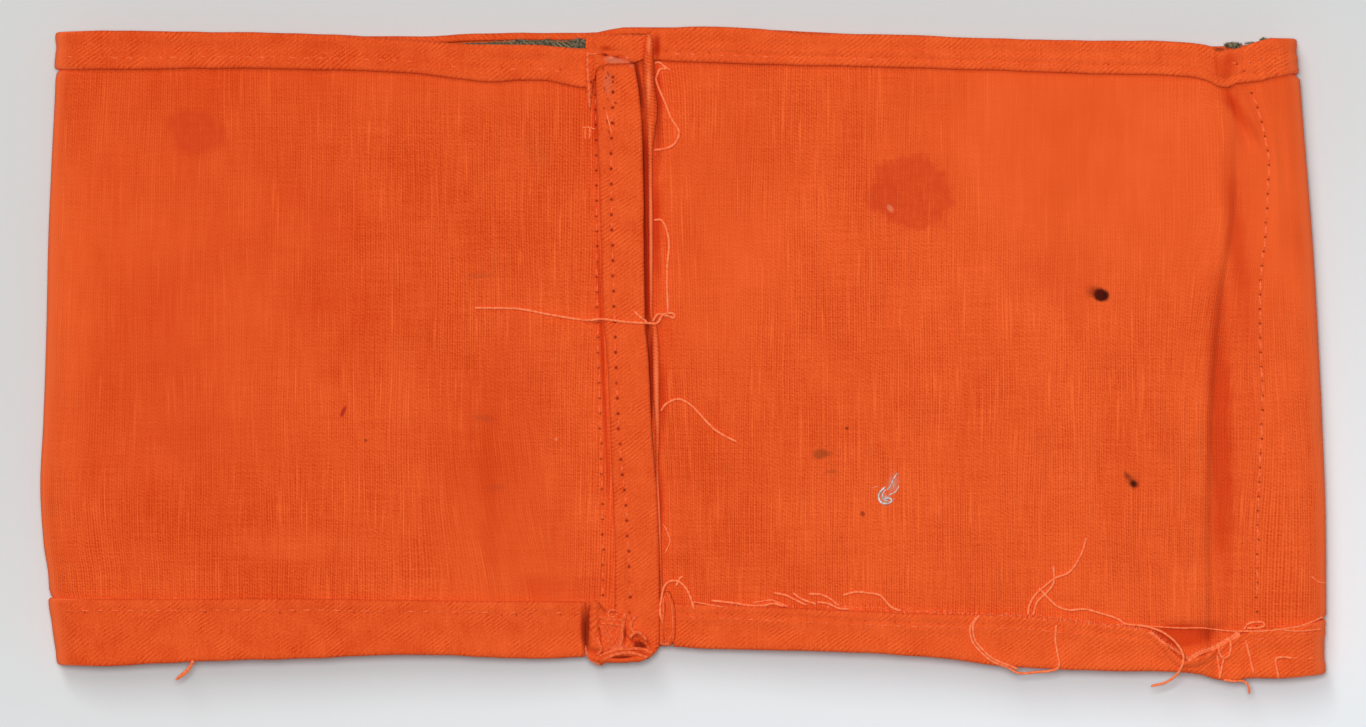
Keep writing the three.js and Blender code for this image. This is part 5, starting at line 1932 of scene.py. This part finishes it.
def lay_patch():
    columns = patch_columns()
    inwards = -(PLY / 2 + PATCH_GAP + PATCH_PLY / 2)
    lows = [share_at_height(column, PATCH_BOTTOM) for column in columns]
    highs = [share_at_height(column, PATCH_TOP(column(0.97).x) - 0.15) for column in columns]
    points = []
    for column, low, high in zip(columns, lows, highs):
        points.append([column(lerp(low, high, j / (PATCH_ROWS - 1))) for j in range(PATCH_ROWS)])
    around = run_lengths([row[PATCH_ROWS // 2] for row in points])
    last = len(columns) - 1

    def place(i, j):
        along = points[min(i + 1, last)][j] - points[max(i - 1, 0)][j]
        across = points[i][min(j + 1, PATCH_ROWS - 1)] - points[i][max(j - 1, 0)]
        normal = along.cross(across).normalized()
        sag = 0.9 * soft_step((points[i][j].z - 5) / 2)
        point = points[i][j] + normal * (inwards - sag)
        if j == PATCH_ROWS - 1:
            point.y += 0.35 * smooth_noise(around[i] / 1.7, 0.5, 1.5)
        return point

    def maps(i, j):
        return (around[i], points[i][j].y), (NO_ROW, 0.5)

    return cloth_sheet("olive_patch", len(columns), PATCH_ROWS, place, maps, OLIVE, OLIVE, PATCH_PLY,
                       even=False)


def share_at_height(column, y):
    """The share of the way across at which a column reaches a height on the picture."""
    low, high = column(0.0).y, column(1.0).y
    return min((y - low) / (high - low), 1 - TRIM)


PATCH = lay_patch()
print("patch faces:", len(PATCH.data.polygons))

# %% [markdown]
# ## Stitches
# A stitch is a short piece of yarn that dives into the cloth at both ends, so a flattened ball does for
# one. Each row follows its line over the finished surface, at the pitch of the real seam. Worn
# stitches are missing here and there.

# %% Rows of stitches
STITCH_HEIGHT = 0.26
STITCH_SEED = 11


def sew(bm, rng, path, pitch, shown, length, width, slant=0.0):
    """Adds one flattened ball for every stitch along a path of (x, y) places in mm."""
    places = [Vector((x, y, 0.0)) for x, y in path]
    lengths = run_lengths(places)
    count = int(lengths[-1] / pitch)
    for k in range(count):
        here = (k + 0.5) * pitch
        m = min(bisect_right(lengths, here), len(places) - 1)
        share = (here - lengths[m - 1]) / max(lengths[m] - lengths[m - 1], 1e-6)
        middle = places[m - 1].lerp(places[m], share)
        heading = places[m] - places[m - 1]
        jitter = rng.uniform(-0.09, 0.09)
        if rng.random() > shown:
            continue
        turn = math.atan2(heading.y, heading.x) + slant + jitter
        lift = GROUND.height(middle.x, middle.y) + 0.02
        size = (length / 2 * rng.uniform(0.88, 1.06), width / 2 * rng.uniform(0.9, 1.15), STITCH_HEIGHT / 2)
        matrix = Matrix.Translation(Vector((middle.x, middle.y, lift)) * MM)
        matrix @= Matrix.Rotation(turn, 4, "Z") @ Matrix.Diagonal(Vector((*size, 1000.0)) * MM)
        bmesh.ops.create_uvsphere(bm, u_segments=8, v_segments=5, radius=1.0, matrix=matrix)


def hem_path(which, side, start, end, distance):
    """A line at a distance outwards from a hem's inner line."""
    line = EDGES[side][f"{which} hem"]
    outwards = 1 if which == "top" else -1
    return [(x, line(x) + outwards * distance) for x in spaced_to(start, end, 1.0)]


def upright_path(line, start, end):
    return [(line(y), y) for y in spaced_to(start, end, 1.0)]


DIP_ROW = [photo_to_mm(*at) for at in ((1227, 61), (1240, 65), (1252, 61), (1264, 59), (1284, 57.5))]
STITCH_ROWS = (
    # path, pitch, share still there, length, width, slant
    (upright_path(PATCH_STITCHES, -38.5, 42.0), PATCH_PITCH, 1.0, 2.1, 0.40, 0.10),
    (upright_path(OLD_ROW, -39.0, 24.0), OLD_ROW_PITCH, 0.9, 1.5, 0.25),
    (upright_path(OLD_ROW, 24.0, 43.0), OLD_ROW_PITCH, 0.35, 1.3, 0.25),
    (upright_path(STRIP_ROW, -39.0, 41.0), STRIP_PITCH, 0.8, 1.35, 0.24),
    (hem_path("top", "left", -98.0, -15.5, 2.05), HEM_PITCH, 0.65, 1.25, 0.23),
    (hem_path("top", "right", -2.0, 84.0, 1.4), HEM_PITCH, 0.6, 1.25, 0.23),
    (hem_path("bottom", "left", -98.0, -15.5, 2.05), HEM_PITCH, 0.85, 1.35, 0.24),
    (hem_path("bottom", "right", -2.0, 72.0, 2.35), HEM_PITCH, 0.9, 1.45, 0.26),
    (hem_path("bottom", "right", 88.0, 101.0, 1.9), HEM_PITCH, 0.9, 1.4, 0.26),
    ([photo_to_mm(1274, 657), photo_to_mm(1322, 659)], HEM_PITCH, 0.9, 1.3, 0.25),
    (DIP_ROW, HEM_PITCH, 0.8, 1.0, 0.22),
)


def sew_rows():
    rng = random.Random(STITCH_SEED)
    bm = bmesh.new()
    for row in STITCH_ROWS:
        sew(bm, rng, *row)
    for face in bm.faces:
        face.smooth = True
    return add_object("stitches", mesh_from(bm, "stitches", STITCH_YARN))


STITCHES = sew_rows()
GROUND.add(STITCHES)
print("stitch faces:", len(STITCHES.data.polygons))

# %% [markdown]
# ## Laying loose threads
# A loose thread is drawn as a few places in the picture, joined by a smooth curve. It rests on the
# cloth but it is springy, so it can only climb and fall gently: its height is the highest surface
# nearby, less a slope times the distance.

# %% Threads that rest on the cloth
THREAD_SLOPE = 0.32
THREAD_STEP = 0.3
THREAD_REACH = 24


def smooth_route(route, step):
    """A curve through the places of a route, with a point about every step."""
    padded = [route[0] * 2 - route[1], *route, route[-1] * 2 - route[-2]]
    points = []
    for before, start, end, after in zip(padded, padded[1:], padded[2:], padded[3:]):
        count = max(2, round((end - start).length / step))
        for k in range(count):
            t = k / count
            pull = (end - before) * (t - 2 * t**2 + t**3) / 2 + (after - start) * (t**3 - t**2) / 2
            points.append(start * (1 - 3 * t**2 + 2 * t**3) + end * (3 * t**2 - 2 * t**3) + pull)
    return [*points, route[-1]]


def rest_on_ground(points, radius):
    """Gives flat points a height on the surface, springy between high places."""
    ground = [GROUND.height(point.x, point.y) for point in points]
    along = run_lengths(points)
    heights = []
    for i, here in enumerate(along):
        near = range(max(0, i - THREAD_REACH), min(len(points), i + THREAD_REACH + 1))
        heights.append(max(ground[j] - THREAD_SLOPE * abs(along[j] - here) for j in near))
    soft = [heights[max(i - 1, 0)] / 4 + h / 2 + heights[min(i + 1, len(heights) - 1)] / 4
            for i, h in enumerate(heights)]
    return [Vector((p.x, p.y, max(z, g) + 0.85 * radius)) for p, z, g in zip(points, soft, ground)]


def lay_thread(pixels, radius, step=THREAD_STEP):
    """The points of a thread through places of the picture."""
    return rest_on_ground(smooth_route(flat_route(pixels), step), radius), radius


def thread_piece(name, strands, material, sides=2):
    """One mesh from many strands, each a list of points and a radius."""
    curve = bpy.data.curves.new(name, "CURVE")
    curve.dimensions = "3D"
    curve.bevel_depth = MM
    curve.bevel_resolution = sides
    curve.use_fill_caps = True
    for points, radius in strands:
        spline = curve.splines.new("POLY")
        spline.points.add(len(points) - 1)
        last = len(points) - 1
        for k, (knot, point) in enumerate(zip(spline.points, points)):
            knot.co = (*(point * MM), 1.0)
            knot.radius = radius * (1.0 if 0 < k < last else 0.6)
    drawn = add_object(name + "_curve", curve)
    mesh = bpy.data.meshes.new_from_object(drawn.evaluated_get(bpy.context.evaluated_depsgraph_get()))
    bpy.data.objects.remove(drawn)
    mesh.name = name
    mesh.materials.clear()
    mesh.materials.append(material)
    for face in mesh.polygons:
        face.use_smooth = True
    return add_object(name, mesh)


print("threads may rise", THREAD_SLOPE, "mm per mm")

# %% [markdown]
# ## The loose threads
# Every route below is one thread of the real band, in picture pixels: a long one across the strip,
# several that curl out from the rolled edge, a tangle along the lower hem and loops round the notch.

# %% Routes of the loose threads
ROUTES = {
    "long thread over the strip": (
        (475, 308), (495, 308), (520, 309), (552, 315), (585, 320), (602, 319), (627, 322), (647, 323),
        (657, 323), (662, 316), (668, 313), (674, 314), (674, 318), (668, 316), (658, 314), (653, 321)),
    "its tail": ((634, 311), (639, 316), (647, 322)),
    "curl at the top": ((655, 63), (659, 62), (664, 66), (670, 70)),
    "upper loop": (
        (666, 69), (660, 69), (657, 75), (656, 80), (660, 91), (666, 105), (671, 118), (677, 127),
        (679, 134), (675, 143), (667, 148), (654, 150)),
    "middle loop": (
        (654, 220), (661, 220), (666, 228), (669, 243), (668, 257), (667, 271), (667, 288), (668, 315)),
    "arm to the right": (
        (661, 411), (664, 406), (669, 402), (678, 399), (688, 403), (696, 410), (706, 421), (718, 432),
        (737, 442)),
    "small loop": ((663, 524), (667, 531), (670, 541), (668, 547), (665, 553)),
    "loop at the hem": (
        (662, 621), (660, 612), (661, 601), (664, 587), (671, 581), (681, 583), (689, 594), (694, 609)),
    "its tuft": ((676, 586), (680, 578), (683, 577)),
    "hem thread A": ((690, 602), (700, 603), (711, 605), (724, 607)),
    "hem thread B": (
        (711, 600.7), (732, 602.8), (750, 605.6), (763, 605.6), (774, 603.5), (781, 605.6), (788, 606)),
    "hem thread C": ((753, 602.8), (770, 600), (777, 602), (785, 605)),
    "hem thread D": ((774, 593), (785, 595), (797, 600.7), (806.5, 605)),
    "hem thread E": ((793, 593), (802, 599), (816, 604)),
    "hem thread F": ((809, 593.7), (820.5, 594.4), (829, 598), (839, 605.6)),
    "hem thread G": ((817, 602), (827.5, 603.5), (839, 608.4), (848.6, 608.8)),
    "hem thread H": (
        (843, 595), (855.6, 592), (869.6, 593), (879.4, 595), (884, 599), (889, 605), (894, 608.5),
        (900.5, 610.5)),
    "tall curl": (
        (1086, 538), (1082, 552), (1073, 568), (1066, 574), (1055, 578), (1046, 585), (1035, 595),
        (1029, 606), (1028, 615)),
    "curl beside it": ((1053, 565), (1054, 575), (1053, 584), (1046, 593), (1037, 602), (1033, 615)),
    "long lower thread": (
        (1039, 588), (1048, 598), (1057, 606), (1069, 610), (1084, 609), (1100, 613), (1116, 618),
        (1126, 624), (1144, 626), (1162, 632), (1176, 643), (1183, 657), (1178, 672), (1166, 682),
        (1151, 686)),
    "double loop": (
        (977, 616), (970, 627), (972, 641), (980, 651), (992, 661), (1007, 667), (1019, 673),
        (1037, 672), (1053, 670), (1059, 665), (1057, 652), (1055, 638), (1056, 625)),
    "double loop again": (
        (979, 615), (973, 625), (974.5, 639), (983, 650), (994, 659), (1008, 665), (1018, 669)),
    "notch loop": (
        (1246, 631), (1238, 632), (1231, 638), (1230.5, 647), (1229, 655), (1224, 658), (1219.5, 654),
        (1218.5, 646), (1222, 643)),
    "strand at the notch": ((1217, 655), (1218.5, 666), (1220, 678)),
    "second strand at the notch": ((1223.5, 659), (1221.5, 668), (1219.5, 678)),
    "strand over the hem": ((1245.5, 640), (1249, 654), (1253.5, 674)),
    "curl below the edge": ((1224, 680), (1234, 681), (1243, 681), (1248.5, 686), (1249.5, 694)),
    "flat loop": (
        (1244, 630), (1248, 624), (1255, 622), (1263, 622.5), (1264, 626), (1256, 628), (1247, 628)),
    "hook at the right end": ((1311, 576), (1319, 582), (1325, 583)),
    "strand across the notch": (
        (1120, 624), (1147, 626), (1180, 628), (1202, 628), (1230, 631), (1261, 631)),
    "strand at the right corner": ((1274, 629), (1298, 631), (1322, 629)),
    "upright strand": (
        (1292, 658), (1284, 657), (1276.5, 658), (1275.5, 663), (1277, 670), (1278.5, 678)),
    "thread under the left edge": ((193, 660), (190, 666), (186, 671), (181, 675), (176, 680)),
    "thread under the left edge again": ((194, 661), (188, 671), (182, 676), (177, 679)),
    "darn's bar": ((582.5, 127.5), (588, 127), (595, 129)),
    "darn's left leg": ((585.5, 127), (585, 133), (585.5, 139.5)),
    "darn's right leg": ((589.5, 127.5), (590, 133), (589, 139)),
    "broken stitch": ((606.5, 112), (608, 119), (610, 126), (611.5, 134)),
}
FINE_ROUTES = {"darn's bar", "darn's left leg", "darn's right leg", "broken stitch",
               "strand across the notch", "strand at the right corner", "hook at the right end",
               "small loop", "hem thread A", "hem thread C"}
LOOSE_RADIUS = 0.205
FINE_SHARE = 0.6


def lay_loose_threads():
    strands = []
    for name, pixels in ROUTES.items():
        radius = LOOSE_RADIUS * (FINE_SHARE if name in FINE_ROUTES else 1.0)
        strands.append(lay_thread(pixels, radius))
    return thread_piece("loose_threads", strands, LOOSE_YARN)


LOOSE_THREADS = lay_loose_threads()
print("thread faces:", len(LOOSE_THREADS.data.polygons))

# %% [markdown]
# ## Fray
# Raw and worn edges shed short fibres. A wisp starts on the cloth, heads out, curls at random and
# thins away. The seeds are fixed, so every run grows the same fray.


# %% Wisps of fray
UP = math.pi / 2
SUNK = 0.12
YARN_SEED = 41
ORANGE_SEED = 23
OLIVE_SEED = 31


def wisp(rng, x, y, z, heading, length, curl, rise, steps=6):
    """A short curling fibre from a place, all in mm and radians."""
    points = [Vector((x, y, z))]
    turn = heading
    for _ in range(steps):
        turn += rng.uniform(-curl, curl)
        step = length / steps
        climb = rise * step * rng.uniform(0.2, 1.0)
        points.append(points[-1] + Vector((math.cos(turn) * step, math.sin(turn) * step, climb)))
    return points


def fray_line(rng, pixels, gap, length, heading, spread, radius, rise=0.15, curl=0.5):
    """Wisps along a line of the picture, one about every gap mm."""
    route = smooth_route(flat_route(pixels), gap)
    strands = []
    for point in route:
        x = point.x + rng.uniform(-0.3, 0.3) * gap
        y = point.y + rng.uniform(-0.15, 0.15)
        z = GROUND.height(x, y) - SUNK
        towards = heading + rng.uniform(-spread, spread)
        size = length * rng.uniform(0.5, 1.3)
        strands.append((wisp(rng, x, y, z, towards, size, curl, rise), radius * rng.uniform(0.7, 1.2)))
    return strands


def tuft(rng, px, py, half_width, half_height, count, length, radius, low, high):
    """Short fibres matted together in an oval of picture pixels, between two heights in mm."""
    strands = []
    for _ in range(count):
        turn, away = rng.uniform(0, 2 * math.pi), math.sqrt(rng.random())
        x, y = photo_to_mm(px + half_width * away * math.cos(turn), py + half_height * away * math.sin(turn))
        heading = rng.uniform(0, 2 * math.pi)
        x -= 0.5 * length * math.cos(heading)
        y -= 0.5 * length * math.sin(heading)
        z, size = rng.uniform(low, high), length * rng.uniform(0.5, 1.2)
        points = wisp(rng, x, y, z, heading, size, 0.7, 0.1, 5)
        strands.append((points, radius))
    return strands


def twisted_yarns(rng, pixels, count, spread, radius, turn=8.0):
    """Yarns twisted round each other along a line of the picture. spread and turn are in pixels."""
    route = smooth_route([Vector((px, py, 0.0)) for px, py in pixels], 1.6)
    along = run_lengths(route)
    strands = []
    for k in range(count):
        start = 2 * math.pi * k / count
        pulled = []
        for i, point in enumerate(route):
            run = route[min(i + 1, len(route) - 1)] - route[max(i - 1, 0)]
            side = Vector((-run.y, run.x, 0.0)).normalized()
            phase = start + 2 * math.pi * along[i] / turn + rng.uniform(-0.4, 0.4)
            offset = side * spread * (math.sin(phase) + rng.uniform(-0.3, 0.3))
            pulled.append((point.x + offset.x, point.y + offset.y))
        strands.append(lay_thread(pulled, radius * rng.uniform(0.85, 1.1), 0.2))
    return strands


print("a wisp starts", SUNK, "mm under the surface")

# %% [markdown]
# ## Where edges fray
# The notch has two lips of loose yarns, the crumpled end and the flap have let some go too, and the
# hems' inner folds and the patch's top edge shed fibres.

# %% Frayed edges
NOTCH_LIPS = (
    # picture pixels, yarns, spread in pixels, radius in mm
    (((1150, 632), (1160, 640), (1172, 648), (1187, 658)), 3, 1.0, 0.09),
    (((1187, 660), (1200, 652.5), (1213, 648), (1226, 641), (1240, 634)), 7, 1.7, 0.10),
    (((1245, 631), (1262, 631), (1285, 628.5), (1303, 625), (1323, 617)), 2, 0.5, 0.09),
)
WORN_ROUTES = (
    (((625, 613), (623.5, 622), (622, 631), (621, 642), (617, 650)), 4, 1.2, 0.10),
    (((638, 615), (632.5, 620), (631, 626), (633.5, 634)), 3, 0.8, 0.10),
    (((630, 638), (633, 633.5), (638, 632), (643, 635), (646, 640)), 5, 1.1, 0.11),
    (((600, 656), (610, 651.5), (622, 649), (636, 648.5), (646, 650), (651, 653)), 4, 1.0, 0.10),
    (((604, 659), (615, 654.5), (626, 652.5), (638, 654), (647, 657)), 4, 0.9, 0.10),
    (((597, 638), (600, 644), (601, 650), (597, 655)), 3, 0.8, 0.08),
    (((608, 613), (611, 610), (616, 610.5), (617.5, 613.5), (613, 617), (608.5, 615.5),
      (608, 612)), 2, 0.4, 0.11),
    (((599, 624), (603, 633), (606.5, 643)), 1, 0.3, 0.09),
    (((602.5, 625), (607, 634), (611.5, 645)), 1, 0.3, 0.09),
    (((606.5, 625), (610.5, 634), (614.5, 645)), 1, 0.3, 0.09),
    (((610.5, 625), (613.5, 634), (617, 644)), 1, 0.3, 0.09),
    (((614.5, 625), (617, 634), (619.5, 642)), 1, 0.3, 0.09),
    (((600, 617), (609, 619.5), (621, 620)), 2, 0.5, 0.08),
    (((601, 623), (611, 624), (621, 625)), 2, 0.4, 0.07),
    (((663.5, 598), (663.5, 610), (662.5, 623)), 2, 0.4, 0.11),
    (((667, 593), (671, 604), (672.6, 618), (672.4, 630), (669, 641)), 2, 0.3, 0.09),
    (((589, 54.5), (594, 53.8), (600, 53)), 2, 0.4, 0.11),
    (((588, 52), (587.5, 64), (588, 76), (589.0, 90), (589.5, 108)), 3, 0.8, 0.10),
)


FRAYED_EDGES = (
    # picture pixels, gap, length, heading, spread, radius, rise
    (((842, 608), (900, 611), (960, 613.5), (1010, 616), (1060, 620), (1110, 626),
      (1140, 629)), 0.36, 0.46, UP,
     0.9, 0.075, 0.5),
    (((725, 606), (788, 607), (842, 608)), 0.9, 0.5, UP, 0.9, 0.08, 0.4),
    (((900, 612.5), (1010, 617.5), (1110, 627), (1150, 634)), 0.8, 0.5, UP, 1.2, 0.09, 0.6),
    (((1187, 660), (1200, 653), (1213, 648), (1228, 640), (1239, 634)), 0.10, 0.5, UP, 1.4, 0.045, 0.6),
    (((1150, 632), (1165, 642), (1180, 653)), 0.14, 0.45, UP, 1.2, 0.045, 0.5),
    (((586, 645), (587, 650), (589, 656), (595, 661), (600, 664)), 0.035, 0.45, math.pi, 1.5, 0.03),
    (((661, 640), (665, 643), (670, 640)), 0.03, 0.5, -UP, 1.4, 0.03),
    (((668, 595), (673, 606), (674, 620), (672, 636)), 0.2, 0.25, 0.0, 1.4, 0.035),
)
PATCH_FRAY = (
    # picture pixels, gap, length, heading, spread, radius, rise, curl
    (((468, 43.6), (500, 43), (512, 41.4), (519, 40.6), (529, 41.4), (547, 40.4), (560, 41.2),
      (575, 40), (584, 39.6)), 0.045, 0.8, 0.1, 0.5, 0.04, 0.03, 0.5),
    (((490, 44), (519, 42.4), (547, 42), (584, 41.6)), 0.06, 0.9, 0.0, 0.4, 0.04, 0.03, 0.4),
)
PATCH_TUFTS = (
    # pixel, half width, half height, count, length, radius, lowest, highest
    (519, 41.6, 5.0, 1.5, 90, 0.6, 0.035, 2.1, 2.8),
    (547, 41.2, 5.0, 1.7, 90, 0.6, 0.035, 2.1, 2.8),
    (579, 42.0, 7.0, 3.0, 220, 0.7, 0.035, 2.1, 2.9),
    (1233, 45.2, 8.5, 2.4, 330, 0.55, 0.035, 6.6, 8.3),
    (1251, 43.2, 6.0, 0.9, 60, 0.45, 0.03, 6.8, 8.2),
    (1264, 39.6, 3.6, 1.6, 110, 0.45, 0.03, 6.8, 8.2),
)
print("frayed edges:", len(NOTCH_LIPS) + len(WORN_ROUTES) + len(FRAYED_EDGES) + len(PATCH_FRAY))

# %% [markdown]
# ## Growing the fray
# One mesh holds the worn yarns, one the orange fray and one the olive fray of the patch.


# %% Fray
def worn_yarns():
    """The yarns that worn edges have let go: in the crumple and beside the seam."""
    rng = random.Random(YARN_SEED)
    strands = []
    for pixels, count, spread, radius in WORN_ROUTES:
        strands += twisted_yarns(rng, pixels, count, spread, radius)
    return thread_piece("worn_yarns", strands, STITCH_YARN, sides=1)


def fray_orange():
    rng = random.Random(ORANGE_SEED)
    strands = []
    for pixels, count, spread, radius in NOTCH_LIPS:
        strands += twisted_yarns(rng, pixels, count, spread, radius)
    for edge in FRAYED_EDGES:
        strands += fray_line(rng, *edge)
    return thread_piece("fray_orange", strands, LOOSE_YARN, sides=1)


def fray_olive():
    rng = random.Random(OLIVE_SEED)
    strands = []
    for edge in PATCH_FRAY:
        strands += fray_line(rng, *edge)
    for place in PATCH_TUFTS:
        strands += tuft(rng, *place)
    return thread_piece("fray_olive", strands, OLIVE_YARN, sides=1)


WORN_YARNS = worn_yarns()
ORANGE_FRAY = fray_orange()
OLIVE_FRAY = fray_olive()
print("fray faces:", len(ORANGE_FRAY.data.polygons), len(OLIVE_FRAY.data.polygons))

# %% [markdown]
# ## A curl of lint
# A pale curl of lint clings to the right panel, with a faint tail above it.

# %% Lint
LINT_ROUTES = (
    ((885, 487), (880, 492), (878.5, 497), (881, 502.5), (887, 503.5), (891.5, 501), (890, 498.2),
     (884, 498.6)),
    ((886, 489), (882.5, 494), (883, 499), (888, 501)),
    ((887, 490), (891, 485), (893, 480), (897, 473)),
    ((889, 495), (895, 492), (899, 486)),
)


LINT_FRAY = (
    # picture pixels, gap, length, heading, spread, radius, rise, curl
    (((880, 490), (884, 497), (890, 497), (893, 491)), 0.35, 1.3, 0.6, 2.5, 0.05, 0.15, 1.2),
    (((881, 501), (886, 497), (890, 489), (894, 481),
      (898, 472)), 0.035, 0.9, 0.9, 1.6, 0.022, 0.15, 0.9),
    (((879, 494), (880, 502), (887, 505), (892, 500)), 0.05, 0.5, -UP, 2.0, 0.025, 0.15, 0.9),
)
CURL_RADIUS = 0.17
LINT_SEED = 5
TAIL_RADIUS = 0.09


def lay_lint():
    curl, *tails = LINT_ROUTES
    strands = [lay_thread(curl, CURL_RADIUS)] + [lay_thread(tail, TAIL_RADIUS) for tail in tails]
    rng = random.Random(LINT_SEED)
    for edge in LINT_FRAY:
        strands += fray_line(rng, *edge)
    return thread_piece("lint", strands, LINT, sides=1)


LINT_CURL = lay_lint()
print("lint faces:", len(LINT_CURL.data.polygons))

# %% [markdown]
# ## On the rigid body
# Every piece rides on the single rigid body, and the solids of the imported model that the pieces
# take the place of are hidden.

for piece in (BAND, TOP_HEM, BOTTOM_HEM, STRIP, ROLL, FLAP, BUNCH, TONGUE, PATCH, STITCHES, LOOSE_THREADS,
              WORN_YARNS, ORANGE_FRAY, OLIVE_FRAY, LINT_CURL):
    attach(piece, "root")
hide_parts("band_cloth")
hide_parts("top_hem_left", "top_hem_right", "top_hem_back")
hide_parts("bottom_hem_left", "bottom_hem_right", "bottom_hem_back")
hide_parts("seam_strip")
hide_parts("seam_roll")
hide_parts("top_flap")
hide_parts("seam_bunch")
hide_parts("seam_tongue")
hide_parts("inner_patch")
